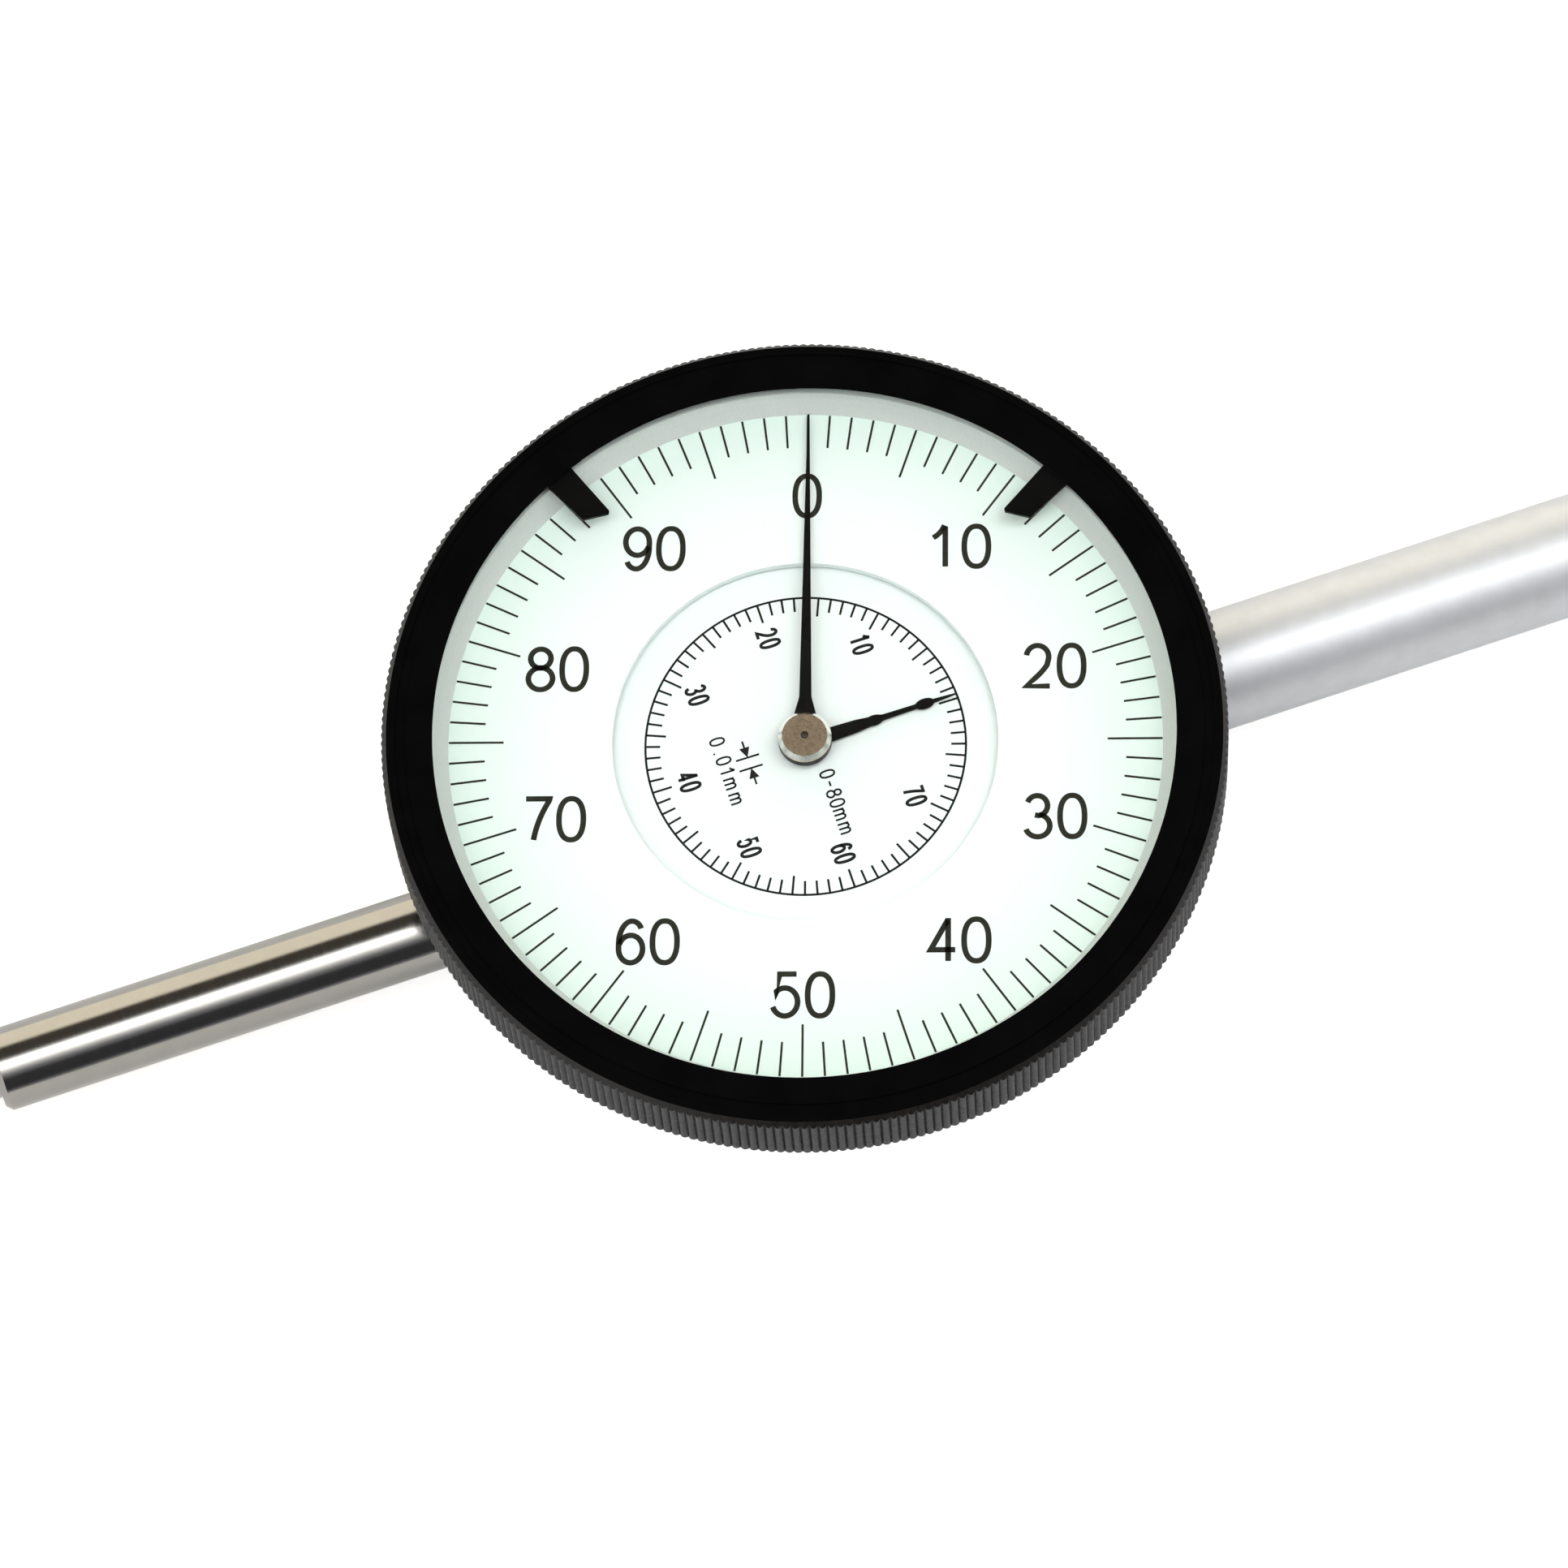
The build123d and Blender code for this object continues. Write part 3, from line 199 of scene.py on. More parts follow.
class Finish:
    # a material being built: its tree, its shader and short ways to add nodes
    def __init__(self, name, colour, roughness, metallic=0.0, **sockets):
        self.material = bpy.data.materials.new(name)
        self.material.use_nodes = True
        self.tree = self.material.node_tree
        self.shader = self.tree.nodes["Principled BSDF"]
        self.shader.inputs["Base Color"].default_value = (*colour, 1)
        self.shader.inputs["Roughness"].default_value = roughness
        self.shader.inputs["Metallic"].default_value = metallic
        for key, value in sockets.items():
            self.shader.inputs[key.replace("_", " ")].default_value = value

    def node(self, kind, **values):
        made = self.tree.nodes.new("ShaderNode" + kind)
        for key, value in values.items():
            if hasattr(made, key):
                setattr(made, key, value)
            else:
                made.inputs[key.replace("_", " ")].default_value = value
        return made

    def join(self, source, target):
        self.tree.links.new(source, target)
        return source

    def place(self):
        return self.node("TexCoord").outputs["Object"]

    def noise(self, at, scale, stretch=(1, 1, 1), detail=4.0):
        mapping = self.node("Mapping")
        mapping.inputs["Scale"].default_value = Vector(stretch) * scale
        self.join(at, mapping.inputs["Vector"])
        made = self.node("TexNoise", Scale=1.0, Detail=detail)
        self.join(mapping.outputs["Vector"], made.inputs["Vector"])
        return made.outputs["Fac"]

    def spread(self, value, low, high, start=0.3, end=0.7):
        # a value around 0.5 becomes one between low and high
        made = self.node("MapRange", From_Min=start, From_Max=end, To_Min=low, To_Max=high)
        self.join(value, made.inputs["Value"])
        return made.outputs["Result"]

    def roughen(self, value, low, high):
        self.join(self.spread(value, low, high), self.shader.inputs["Roughness"])

    def tint(self, value, first, second, start=0.3, end=0.7):
        mix = self.node("Mix", data_type="RGBA")
        share = self.spread(value, 0, 1, start, end)
        self.join(share, mix.inputs["Factor"])
        mix.inputs[6].default_value = (*first, 1)  # the two colour sockets
        mix.inputs[7].default_value = (*second, 1)
        self.join(mix.outputs[2], self.shader.inputs["Base Color"])

    def bump(self, value, height, strength=1.0):
        made = self.node("Bump", Strength=strength, Distance=height)
        self.join(value, made.inputs["Height"])
        self.join(made.outputs["Normal"], self.shader.inputs["Normal"])

    def fromCentre(self, at):
        # distance from the dial's centre line
        flat = self.node("VectorMath", operation="MULTIPLY")
        flat.inputs[1].default_value = (1, 1, 0)
        self.join(at, flat.inputs[0])
        length = self.node("VectorMath", operation="LENGTH")
        self.join(flat.outputs["Vector"], length.inputs[0])
        return length.outputs["Value"]

    def ringed(self, at, scale):
        # noise that only changes with the distance from the centre line, as a lathe tool leaves it
        spot = self.node("CombineXYZ")
        self.join(self.fromCentre(at), spot.inputs["X"])
        return self.noise(spot.outputs["Vector"], scale, detail=3.0)


metals = {
    # colour, roughness from and to, lines per metre, how those stretch along X, Y and Z,
    # and how much of the surface is bare metal
    "satin_aluminium": ((0.88, 0.90, 0.92), 0.46, 0.56, 9000, (1, 1, 1), 0.66),
    "ground_steel": ((0.53, 0.515, 0.48), 0.10, 0.17, 5200, (0.02, 1, 0.02), 1.0),
    "hardened_steel": ((0.56, 0.56, 0.57), 0.10, 0.18, 6000, (0.05, 1, 0.05), 1.0),
    "brass_plate": ((0.80, 0.58, 0.27), 0.24, 0.38, 5000, (0.02, 1, 1), 1.0),
    "brass_wheel": ((0.83, 0.62, 0.30), 0.18, 0.30, 7000, (1, 1, 1), 1.0),
    "bronze_bush": ((0.62, 0.38, 0.20), 0.28, 0.40, 6000, (0.05, 1, 0.05), 1.0),
    "arbor_steel": ((0.50, 0.50, 0.51), 0.14, 0.26, 6000, (0.05, 0.05, 1), 1.0),
    "spring_steel": ((0.10, 0.14, 0.27), 0.20, 0.32, 4000, (1, 1, 0.1), 1.0),
}
metalWear = {
    "patches": 500,  # a metre
    "dull": 0.94,  # of the metal's brightness
    "lineHeight": 0.002 * mm,
    "lineStrength": 0.6,
}


def makeMetal(name):
    colour, low, high, lines, stretch, bare = metals[name]
    finish = Finish(name, colour, low, metallic=bare)
    at = finish.place()
    grain = finish.noise(at, lines, stretch)
    finish.roughen(grain, low, high)
    patches = finish.noise(at, metalWear["patches"], detail=7.0)
    dull = tuple(c * metalWear["dull"] for c in colour)
    finish.tint(patches, dull, colour)
    finish.bump(grain, metalWear["lineHeight"], metalWear["lineStrength"])
    return finish.material


paints = {
    # colour, roughness from and to, grains per metre, grain height
    "black_bezel": ((0.0022, 0.0022, 0.0024), 0.15, 0.22, 14000, 0.001 * mm),
    "pointer_black": ((0.0035, 0.0035, 0.0035), 0.26, 0.36, 9000, 0.002 * mm),
    "seal_rubber": ((0.015, 0.015, 0.016), 0.62, 0.80, 5000, 0.010 * mm),
}
paintWear = {
    "gloss": 0.07,
    "grainStrength": 0.5,
    "rubbed": 160,  # patches a metre
    "faded": 240,
    "fading": 1.5,  # times the paint's own brightness
}


def makePaint(name):
    colour, low, high, grains, height = paints[name]
    finish = Finish(name, colour, low, Specular_IOR_Level=paintWear["gloss"])
    at = finish.place()
    finish.roughen(finish.noise(at, paintWear["rubbed"], detail=3.0), low, high)
    finish.bump(finish.noise(at, grains, detail=2.0), height, paintWear["grainStrength"])
    faded = tuple(c * paintWear["fading"] for c in colour)
    finish.tint(finish.noise(at, paintWear["faded"], detail=3.0), colour, faded)
    return finish.material


dialPaint = {
    "middle": (0.84, 0.905, 0.895),
    # the edge colour is the middle one darkened: painted shade towards the dial's rim
    "edge": (0.71, 0.855, 0.78),
    "shadeFrom": 0.70,  # share of the scale's radius where the painted shade, darker and greener towards the rim, sets in
    "edgeTo": 1.04,
    "gloss": 0.3,
    "roughness": (0.42, 0.55),
    "grains": 3500,  # a metre
    "grainHeight": 0.002 * mm,
    "grainStrength": 0.3,
    "rubbed": 300,  # patches a metre
}


def makeDialPaint():
    low, high = dialPaint["roughness"]
    finish = Finish("dial_white", dialPaint["middle"], low, Specular_IOR_Level=dialPaint["gloss"])
    at = finish.place()
    away = finish.fromCentre(at)
    # painted shade: darker and greener towards the rim
    finish.tint(away, dialPaint["middle"], dialPaint["edge"],
                dialPaint["shadeFrom"] * scaleOuterEdge, dialPaint["edgeTo"] * scaleOuterEdge)
    finish.bump(finish.noise(at, dialPaint["grains"], detail=2.0), dialPaint["grainHeight"],
                dialPaint["grainStrength"])
    finish.roughen(finish.noise(at, dialPaint["rubbed"]), low, high)
    return finish.material


coats = {
    # the tint runs between two colours in grains (a metre, and their detail), and so does the
    # roughness; "turned" grains go round the centre line
    "ring_silver": {  # matt silver paint, part metal flake
        "metal": 0.35, "tints": ((0.64, 0.68, 0.65), (0.74, 0.78, 0.75)), "grains": (9000, 2),
        "roughness": (0.42, 0.56), "roughGrains": (9000, 2), "bump": (0.002 * mm, 0.5)},
    "hub_nickel": {  # the cap's face has a warm bloom
        "metal": 1.0, "tints": ((0.54, 0.40, 0.27), (0.72, 0.57, 0.41)), "grains": (2200, 7),
        "roughness": (0.26, 0.31), "roughGrains": (5000, 4)},
    "hub_bevel": {  # cut brighter than the face
        "metal": 1.0, "tints": ((0.90, 0.87, 0.82), (0.96, 0.95, 0.92)), "grains": (1800, 5),
        "roughness": (0.10, 0.18), "roughGrains": (6000, 4)},
    "dimple_painted_shade": {  # near-black colour in the cap's centre mark: painted shade in the recess
        "gloss": 0.3, "tints": ((0.010, 0.006, 0.003), (0.06, 0.036, 0.017)), "grains": (5000, 4),
        "roughness": (0.4, 0.4)},
    "grip_edge": {  # the sloping edge over the teeth, polished by handling and a little brown
        "gloss": 0.75, "tints": ((0.006, 0.005, 0.004), (0.014, 0.011, 0.008)), "grains": (1200, 5),
        "roughness": (0.24, 0.34), "roughGrains": (2000, 4)},
    "lip_painted_highlight": {  # a near-white, bluish colour inside the lip: a painted highlight for the bright line where the lip's inner wall and the groove under it catch the light
        "metal": 0.2, "tints": ((0.86, 0.92, 0.97), (0.92, 0.97, 1.0)), "grains": (700, 4),
        "roughness": (0.30, 0.42), "turned": 12000},
    "dial_ink": {  # the turning dial's ink is a little green
        "gloss": 0.2, "tints": ((0.010, 0.011, 0.006), (0.016, 0.0176, 0.0096)),
        "grains": (2500, 3), "roughness": (0.6, 0.6)},
    "dial_ink_black": {
        "gloss": 0.2, "tints": ((0.004, 0.004, 0.004), (0.0064, 0.0064, 0.0064)),
        "grains": (2500, 3), "roughness": (0.6, 0.6)},
}
plainGloss = 0.5  # of a coat that names none


def makeCoat(name):
    coat = coats[name]
    low, high = coat["roughness"]
    finish = Finish(name, coat["tints"][0], low, coat.get("metal", 0.0),
                    Specular_IOR_Level=coat.get("gloss", plainGloss))
    at = finish.place()
    scale, detail = coat["grains"]
    grains = finish.noise(at, scale, detail=detail)
    finish.tint(grains, *coat["tints"])
    if "turned" in coat:
        finish.roughen(finish.ringed(at, coat["turned"]), low, high)
    elif "roughGrains" in coat:
        scale, detail = coat["roughGrains"]
        finish.roughen(finish.noise(at, scale, detail=detail), low, high)
    if "bump" in coat:
        finish.bump(grains, *coat["bump"])
    return finish.material


glass = {
    "crystal": ((0.985, 1.0, 0.99), 1.35),  # colour and how strongly it bends light
    "jewel": (0.55, 0.01, 0.07),
    "jewelTints": ((0.40, 0.01, 0.05), (0.62, 0.02, 0.10)),
    "jewelBend": 1.76,
    "jewelClear": 0.6,
    "jewelRoughness": 0.05,
    "jewelClouds": 900,  # a metre
}


def makeCrystal():
    # the studio's light goes straight through to the dial
    colour, bend = glass["crystal"]
    finish = Finish("crystal_clear", colour, 0.0, Transmission_Weight=1.0, IOR=bend)
    lampsThrough = finish.node("LightPath")
    clear = finish.node("BsdfTransparent")
    mix = finish.node("MixShader")
    output = finish.tree.nodes["Material Output"]
    finish.join(lampsThrough.outputs["Is Shadow Ray"], mix.inputs["Fac"])
    finish.join(finish.shader.outputs["BSDF"], mix.inputs[1])
    finish.join(clear.outputs["BSDF"], mix.inputs[2])
    finish.join(mix.outputs["Shader"], output.inputs["Surface"])
    return finish.material


def makeJewel():
    finish = Finish("jewel", glass["jewel"], glass["jewelRoughness"],
                    Transmission_Weight=glass["jewelClear"], IOR=glass["jewelBend"])
    finish.tint(finish.noise(finish.place(), glass["jewelClouds"]), *glass["jewelTints"])
    return finish.material


gripWearAndShade = {
    # the roots' colour is painted shade; the crests' is partly wear and partly painted highlight
    "root": (0.0025, 0.0025, 0.003),
    "crest": (0.042, 0.042, 0.043),
    "gloss": 0.26,
    "roughness": (0.30, 0.46),
    "unevenness": 0.05 * mm,
    "rubbed": 1500,  # patches a metre
    "grains": 2600,
}


def makeGrip():
    # black finish on the grip's teeth, dark down in the roots as painted shade and lighter grey on
    # the crests, partly rubbed wear and partly painted highlight
    low, high = gripWearAndShade["roughness"]
    finish = Finish("grip_worn_and_shaded", gripWearAndShade["crest"], low, Specular_IOR_Level=gripWearAndShade["gloss"])
    at = finish.place()
    uneven = gripWearAndShade["unevenness"]
    rub = finish.node("Math", operation="ADD")
    finish.join(finish.fromCentre(at), rub.inputs[0])
    patches = finish.noise(at, gripWearAndShade["rubbed"])
    finish.join(finish.spread(patches, -uneven, uneven), rub.inputs[1])
    # painted shade: darker towards the tooth roots, lighter towards the crests
    finish.tint(rub.outputs["Value"], gripWearAndShade["root"], gripWearAndShade["crest"],
                bezelRadius - grip["depth"], bezelRadius)
    finish.roughen(finish.noise(at, gripWearAndShade["grains"]), low, high)
    return finish.material


def finishMesh(name, bm, smoothUnder=None):
    bmesh.ops.remove_doubles(bm, verts=bm.verts, dist=1e-8)
    bmesh.ops.recalc_face_normals(bm, faces=bm.faces)
    mesh = bpy.data.meshes.new(name)
    bm.to_mesh(mesh)
    bm.free()
    if smoothUnder:
        mesh.shade_smooth()
        mesh.set_sharp_from_angle(angle=math.radians(smoothUnder))
    return newObject(name, mesh)


def latheRings(bm, rings, closed=True):
    # rings: one list of vertices for each point of the section, all of the same length
    count = len(rings[0])
    pairs = list(zip(rings, rings[1:])) + ([(rings[-1], rings[0])] if closed else [])
    faces = []
    for first, second in pairs:
        for i in range(count):
            j = (i + 1) % count
            faces.append(bm.faces.new((first[i], first[j], second[j], second[i])))
    return faces


def turned(name, section, segments, capEnds=False, smoothUnder=30):
    # section: (radius, height) points round the centre line
    bm = bmesh.new()
    rings = []
    for radius, height in section:
        rings.append([bm.verts.new((radius * math.cos(a), radius * math.sin(a), height))
                      for a in (math.tau * i / segments for i in range(segments))])
    latheRings(bm, rings, closed=not capEnds)
    if capEnds:
        bm.faces.new(rings[0])
        bm.faces.new(rings[-1])
    return finishMesh(name, bm, smoothUnder)


def prism(bm, outline, low, high):
    # closed flat shape standing between two heights
    bottom = [bm.verts.new((x, y, low)) for x, y in outline]
    top = [bm.verts.new((x, y, high)) for x, y in outline]
    bm.faces.new(top)
    bm.faces.new(bottom[::-1])
    for i in range(len(outline)):
        j = (i + 1) % len(outline)
        bm.faces.new((bottom[i], bottom[j], top[j], top[i]))


def ribbon(bm, points, width, low, high, closed=False):
    # a printed line of even width along points, with mitred corners
    points = [Vector(p) for p in points]
    count = len(points)
    left, right = [], []
    for i, point in enumerate(points):
        before = points[i - 1] if i or closed else None
        after = points[(i + 1) % count] if i < count - 1 or closed else None
        sides = [((b - a).normalized().orthogonal()) for a, b in ((before, point), (point, after))
                 if a is not None and b is not None]
        normal = sum(sides, Vector((0, 0))).normalized()
        reach = width / 2 / max(normal.dot(sides[0]), 0.5)
        left.append(point + normal * reach)
        right.append(point - normal * reach)
    corners = [[bm.verts.new((p.x, p.y, z)) for p in side]
               for side, z in ((left, low), (right, low), (right, high), (left, high))]
    steps = range(count if closed else count - 1)
    for i in steps:
        j = (i + 1) % count
        for k in range(4):
            first, second = corners[k], corners[(k + 1) % 4]
            bm.faces.new((first[i], first[j], second[j], second[i]))
    if not closed:
        bm.faces.new([c[0] for c in corners])
        bm.faces.new([c[-1] for c in reversed(corners)])


def arc(x, y, width, height, start, end, steps=14):
    angles = (math.radians(start + (end - start) * i / steps) for i in range(steps + 1))
    return [(x + width * math.cos(a), y + height * math.sin(a)) for a in angles]


def oval(x, y, width, height, power=2.3, steps=40):
    # a little squarer than an ellipse
    def bulge(value):
        return math.copysign(abs(value) ** (2 / power), value)
    angles = (math.tau * i / steps for i in range(steps))
    return [(x + width * bulge(math.cos(a)), y + height * bulge(math.sin(a))) for a in angles]


def bow(start, middle, end, steps=10):
    shares = (i / steps for i in range(steps + 1))
    return [tuple((1 - t) ** 2 * a + 2 * t * (1 - t) * b + t * t * c
                  for a, b, c in zip(start, middle, end)) for t in shares]


# Every figure is drawn in a box 1 wide and 1 high, as lines and arcs that a pen would follow.
six = (arc(0.54, 0.74, 0.40, 0.26, 18, 90, 6) + arc(0.54, 0.45, 0.53, 0.55, 95, 172, 9)
       + arc(0.50, 0.33, 0.49, 0.33, 180, 520, 24))
figures = {
    # each stroke: its points, and whether it closes on itself
    "0": [(oval(0.5, 0.5, 0.5, 0.5), True)],
    "1": [([(0.60, 0.0), (0.60, 1.0)], False),
          (bow((0.10, 0.72), (0.42, 0.82), (0.57, 1.03), 6), False)],
    "2": [(arc(0.49, 0.72, 0.46, 0.28, 172, -22, 14)
           + bow((0.88, 0.52), (0.66, 0.33), (0.36, 0.18), 4) + [(0.03, 0.0), (0.99, 0.0)], False)],
    "3": [(arc(0.46, 0.755, 0.42, 0.245, 160, -82, 14) + [(0.36, 0.53)], False),
          (arc(0.47, 0.27, 0.50, 0.27, 84, -162, 18), False)],
    "4": [([(0.74, 0.0), (0.74, 1.03)], False),
          ([(0.72, 0.98), (0.03, 0.27), (1.03, 0.27)], False)],
    "5": [([(0.93, 1.0), (0.24, 1.0), (0.10, 0.49)]
           + arc(0.46, 0.335, 0.52, 0.335, 132, -160, 20), False)],
    "6": [(six, False)],
    "7": [([(0.02, 1.0), (0.99, 1.0)] + bow((0.97, 0.95), (0.50, 0.50), (0.36, 0.0)), False)],
    "8": [(oval(0.5, 0.765, 0.42, 0.235, 2.0, 28), True),
          (oval(0.5, 0.27, 0.50, 0.27, 2.0, 32), True)],
    "9": [([(1 - x, 1 - y) for x, y in six], False)],
    "-": [([(0.12, 0.45), (0.88, 0.45)], False)],
    ".": [([(0.50, -0.04), (0.50, 0.08)], False)],
    "m": [([(0.0, 0.0), (0.0, 0.78)], False),
          (arc(0.36, 0.50, 0.36, 0.25, 180, 0, 8) + [(0.72, 0.0)], False),
          (arc(1.08, 0.50, 0.36, 0.25, 180, 0, 8) + [(1.44, 0.0)], False)],
}
# steps to the next figure and widths that differ from the others', as shares of theirs
stepShare = {"m": 1.42, ".": 0.8}
widthShare = {"m": 1.44}


def writeText(bm, text, centre, up, size, pitch, pen, low, high):
    # size: a figure's outer width and height; pitch: the step to the next; up: its upright way
    up = Vector(up).normalized()
    right = Vector((up.y, -up.x))
    width, height = size[0] - pen, size[1] - pen
    steps = [pitch * stepShare.get(character, 1) for character in text]
    across = -(sum(steps) - steps[-1] + width * widthShare.get(text[-1], 1)) / 2
    for character, step in zip(text, steps):
        for stroke, closed in figures[character]:
            points = [centre + right * (across + x * width) + up * ((y - 0.5) * height)
                      for x, y in stroke]
            ribbon(bm, points, pen, low, high, closed)
        across += step


grip = {
    "teeth": 300,
    "depth": 0.27 * mm,
    "chamfer": 0.25 * mm,
    "chamferSlope": 1.0,  # fall for each step outwards
    "samples": 6,  # points round each tooth
    "crestShape": 0.9,  # lower makes the crests flatter and the roots narrower
}
bezelFace = {
    # a shallow turned groove in the black face, measured inwards from the rim
    "grooveOuter": 1.30 * mm,
    "grooveInner": 2.30 * mm,
    "grooveSide": 0.08 * mm,
    "grooveDepth": 0.16 * mm,
    "edgeBreak": 0.06 * mm,  # at the window
    "undercut": 0.25 * mm,
    "pointerRoom": 0.25 * mm,  # beyond the limit pointers' feet
    "crystalRoom": 0.02 * mm,
    "lipLeast": 0.4 * mm,  # the lip's underside lies deeper than this
}


def gripRadius(turn):
    # rounded crests between narrow roots
    return bezelRadius - grip["depth"] * (1 - abs(math.sin(math.pi * turn)) ** grip["crestShape"])


def makeBezel():
    low, high = (corner.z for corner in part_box("bezel_ring"))
    heights = {round(v.co.z, 7) for v in nodes["bezel_ring"].data.vertices}
    lipUnderside = max(z for z in heights if z < high - bezelFace["lipLeast"])
    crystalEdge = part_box("crystal")[1].x + bezelFace["crystalRoom"]
    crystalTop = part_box("crystal")[1].z
    pointerReach = max(v.co.xy.length for v in nodes["limit_pointer_left"].data.vertices)
    grooveRadius = pointerReach + bezelFace["pointerRoom"]
    samples = grip["teeth"] * grip["samples"]
    face = bezelRadius - grip["chamfer"] - grip["depth"]

    bm = bmesh.new()

    def ring(radius, height):
        # either may be a number, or a rule that gives one for each sample of a tooth
        made = []
        for i in range(samples):
            angle = math.tau * i / samples
            r = radius(i / grip["samples"]) if callable(radius) else radius
            z = height(i / grip["samples"]) if callable(height) else height
            made.append(bm.verts.new((r * math.cos(angle), r * math.sin(angle), z)))
        return made

    def slopeTop(turn):
        return high - (gripRadius(turn) - face) * grip["chamferSlope"]

    def slopeBottom(turn):
        return low + (gripRadius(turn) - face) * grip["chamferSlope"]

    grooveOuter = bezelRadius - bezelFace["grooveOuter"]
    grooveInner = bezelRadius - bezelFace["grooveInner"]
    grooveSide, grooveFloor = bezelFace["grooveSide"], high - bezelFace["grooveDepth"]
    edgeBreak = bezelFace["edgeBreak"]
    section = [
        (face, low), (gripRadius, slopeBottom), (gripRadius, slopeTop), (face, high),
        (grooveOuter, high), (grooveOuter - grooveSide, grooveFloor),
        (grooveInner + grooveSide, grooveFloor), (grooveInner, high),
        (windowRadius + edgeBreak, high), (windowRadius, high - edgeBreak),
        (windowRadius + bezelFace["undercut"], lipUnderside), (grooveRadius, lipUnderside),
        (grooveRadius, crystalTop), (crystalEdge, crystalTop), (crystalEdge, low),
    ]
    # strips of the section that aren't plain black: the teeth, with painted shade in their roots,
    # their upper ends, and inside the lip, which is painted with a highlight
    # the last finish paints a highlight inside the lip
    finishes = ("black_bezel", "grip_worn_and_shaded", "grip_edge", "lip_painted_highlight")
    stripFinish = {0: 1, 1: 1, 2: 2, 9: 3, 10: 3, 11: 3, 12: 3}
    faces = latheRings(bm, [ring(*point) for point in section])
    for i, made in enumerate(faces):
        made.material_index = stripFinish.get(i // samples, 0)
        made.smooth = True
    bezel = finishMesh("knurled_bezel", bm, 35)
    for name in finishes:
        bezel.data.materials.append(materials[name])
    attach(bezel, "bezel")
    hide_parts("bezel_ring")
    print("bezel:", grip["teeth"], "teeth")


outerScale = {
    "divisions": 100,
    "tickWidth": 0.21 * mm,
    "outerEnd": 0.05 * mm,  # short of the silver ring
    "shortTick": 3.4 * mm,
    "longTick": 5.2 * mm,  # every fifth one
    "figure": (2.85 * mm, 4.72 * mm),
    "figurePitch": 3.20 * mm,
    "pen": 0.54 * mm,
    "drop": 0.18 * mm,
    "numberRadius": 24.85 * mm,
    "poleRadius": 25.5 * mm,  # for the numbers at the top and bottom
}
innerScale = {
    "radius": 15.2 * mm,
    "divisions": 80,
    "line": 0.21 * mm,
    "lineSteps": 180,  # round the circle
    "turn": -0.9,  # degrees, as this dial sits in its case
    "shortTick": 1.4 * mm,
    "longTick": 1.9 * mm,
    "figure": (0.93 * mm, 2.15 * mm),
    "figurePitch": 1.08 * mm,
    "pen": 0.30 * mm,
    "numberRadius": 11.6 * mm,
}
innerNotes = {
    # generic marks of such a dial: the worth of one division, and the range
    "pen": 0.19 * mm,
    "figure": (0.86 * mm, 1.55 * mm),
    # each text, its middle and the step from figure to figure
    "division": ("0.01mm", Vector((0.1, -7.85)) * mm, 1.14 * mm),
    "range": ("0-80mm", Vector((6.4, 1.05)) * mm, 1.04 * mm),
    # two arrows point at two bars, with the space of one division between them
    "arrows": Vector((0.0, -5.6)) * mm,
    "barFromMiddle": 0.56 * mm,
    "barReach": 1.15 * mm,
    "tailFromMiddle": 2.3 * mm,
    "headLength": 1.05 * mm,
    "headReach": 0.5 * mm,
}
inkHeight = 0.02 * mm  # the prints stand this proud


def towards(angle):
    return Vector((math.cos(angle), math.sin(angle)))


def printOuterScale():
    up = towards(zeroAngle)
    low, high = dialTop, dialTop + inkHeight
    ticks = bmesh.new()
    for i in range(outerScale["divisions"]):
        way = towards(zeroAngle - math.tau * i / outerScale["divisions"])
        outer = scaleOuterEdge - outerScale["outerEnd"]
        long = outerScale["longTick" if i % 5 == 0 else "shortTick"]
        ribbon(ticks, [way * (outer - long), way * outer], outerScale["tickWidth"], low, high)
    numbers = bmesh.new()
    for value in range(0, 100, 10):
        way = towards(zeroAngle - math.tau * value / outerScale["divisions"])
        radius = outerScale["poleRadius" if value in (0, 50) else "numberRadius"]
        centre = way * radius - up * outerScale["drop"]
        writeText(numbers, str(value), centre, up, outerScale["figure"],
                  outerScale["figurePitch"], outerScale["pen"], low, high)
    for name, bm in (("outer_scale_ticks", ticks), ("outer_scale_numbers", numbers)):
        piece = finishMesh(name, bm)
        piece.data.materials.append(materials["dial_ink"])
        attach(piece, "bezel")


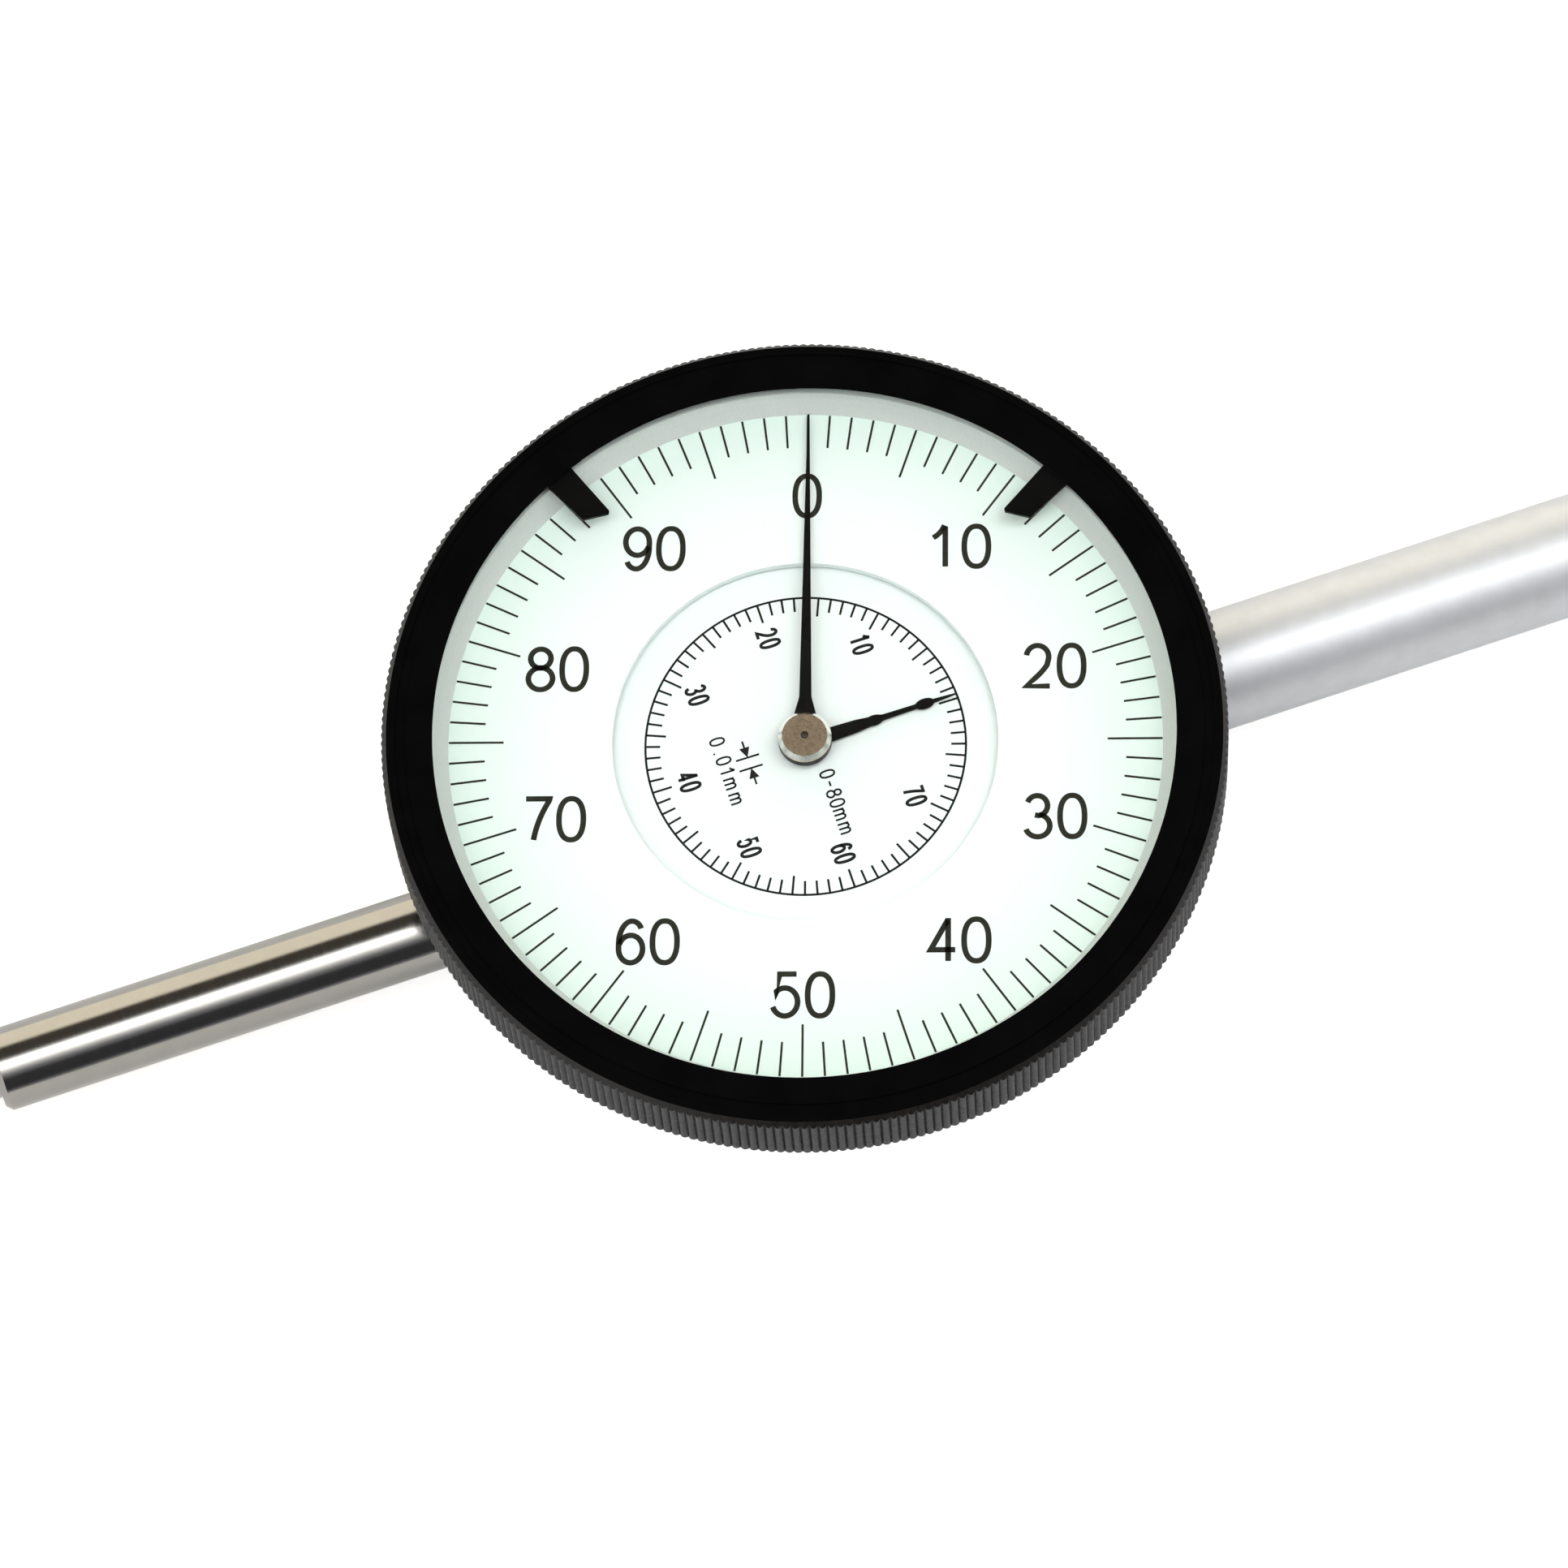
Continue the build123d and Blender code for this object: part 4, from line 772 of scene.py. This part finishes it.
def printInnerScale():
    low, high = innerDialTop, innerDialTop + inkHeight
    radius = innerScale["radius"]
    scale = bmesh.new()
    steps = innerScale["lineSteps"]
    circle = [towards(math.tau * i / steps) * radius for i in range(steps)]
    ribbon(scale, circle, innerScale["line"], low, high, closed=True)
    for i in range(innerScale["divisions"]):
        way = towards(math.pi / 2 + math.tau * i / innerScale["divisions"])
        length = innerScale["longTick" if i % 5 == 0 else "shortTick"]
        ribbon(scale, [way * (radius - length), way * radius], innerScale["line"], low, high)
    numbers = bmesh.new()
    for value in range(10, 80, 10):
        way = towards(math.pi / 2 + math.tau * value / innerScale["divisions"])
        writeText(numbers, str(value), way * innerScale["numberRadius"], (0, 1),
                  innerScale["figure"], innerScale["figurePitch"], innerScale["pen"], low, high)
    notes = bmesh.new()
    pen = innerNotes["pen"]
    for key in ("division", "range"):
        text, centre, pitch = innerNotes[key]
        writeText(notes, text, centre, (0, 1), innerNotes["figure"], pitch, pen, low, high)
    barReach = Vector((0, innerNotes["barReach"]))
    headReach = Vector((0, innerNotes["headReach"]))
    for side in (-1, 1):
        bar = innerNotes["arrows"] + Vector((innerNotes["barFromMiddle"] * side, 0))
        tail = innerNotes["arrows"] + Vector((innerNotes["tailFromMiddle"] * side, 0))
        head = bar + Vector((innerNotes["headLength"] * side, 0))
        ribbon(notes, [bar - barReach, bar + barReach], pen, low, high)
        ribbon(notes, [head, tail], pen, low, high)
        prism(notes, [bar, head + headReach, head - headReach][::side], low, high)
    for name, bm in (("inner_scale_ticks", scale), ("inner_scale_numbers", numbers),
                     ("inner_dial_notes", notes)):
        piece = finishMesh(name, bm)
        piece.data.transform(Matrix.Rotation(math.radians(innerScale["turn"]), 4, "Z"))
        piece.data.materials.append(materials["dial_ink_black"])
        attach(piece, "case")


hub = {
    "bevel": 0.38 * mm,
    "bevelDrop": 0.46 * mm,
    "dimple": 0.38 * mm,
    "dimpleDepth": 0.45 * mm,
    "dimpleStep": 0.5,  # of its depth, where the drill's point follows
    "dimpleRadii": (0.40, 0.55, 0.90),  # shares of its radius at the point, below and at the step
    "point": 0.02 * mm,
    "bore": 0.3 * mm,
    "rimBreak": 0.03 * mm,
    "segments": 160,
}


def makeHubCap():
    low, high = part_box("hub_cap")
    radius, top = high.x, high.z
    dimple, floor = hub["dimple"], top - hub["dimpleDepth"]
    step = top - hub["dimpleStep"] * hub["dimpleDepth"]
    inner, middle, outer = (dimple * share for share in hub["dimpleRadii"])
    section = [
        (hub["point"], floor), (inner, floor), (middle, step), (outer, step),
        (dimple, top), (radius - hub["bevel"], top),
        (radius, top - hub["bevelDrop"]), (radius, low.z + hub["rimBreak"]),
        (radius - hub["rimBreak"], low.z), (hub["bore"], low.z),
    ]
    cap = turned("turned_hub_cap", section, hub["segments"], capEnds=True, smoothUnder=25)
    for name in ("hub_nickel", "dimple_painted_shade", "hub_bevel"):
        cap.data.materials.append(materials[name])
    for face in cap.data.polygons:
        aboveBase = face.center.z > low.z + hub["rimBreak"]
        # the centre mark gets the near-black painted shade
        if aboveBase and face.center.xy.length < hub["dimple"]:
            face.material_index = 1
        elif 0.1 < face.normal.z < 0.95:  # the bevel slopes
            face.material_index = 2
    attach(cap, "pointer_arbor")
    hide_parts("hub_cap")


placeCamera()
placeStudio()

materials = {name: makeMetal(name) for name in metals}
materials.update({name: makePaint(name) for name in paints})
materials.update({name: makeCoat(name) for name in coats})
materials["dial_white"] = makeDialPaint()
materials["crystal_clear"] = makeCrystal()
materials["jewel"] = makeJewel()
materials["grip_worn_and_shaded"] = makeGrip()

for part in frame["record"]["subparts"]:
    obj = nodes[part["node"]]
    obj.data.materials.clear()
    obj.data.materials.append(materials[part["material_slot"]])
print("materials:", len(materials))

makeBezel()
printOuterScale()
printInnerScale()
makeHubCap()
print("pieces: bezel, two printed dials, hub cap")
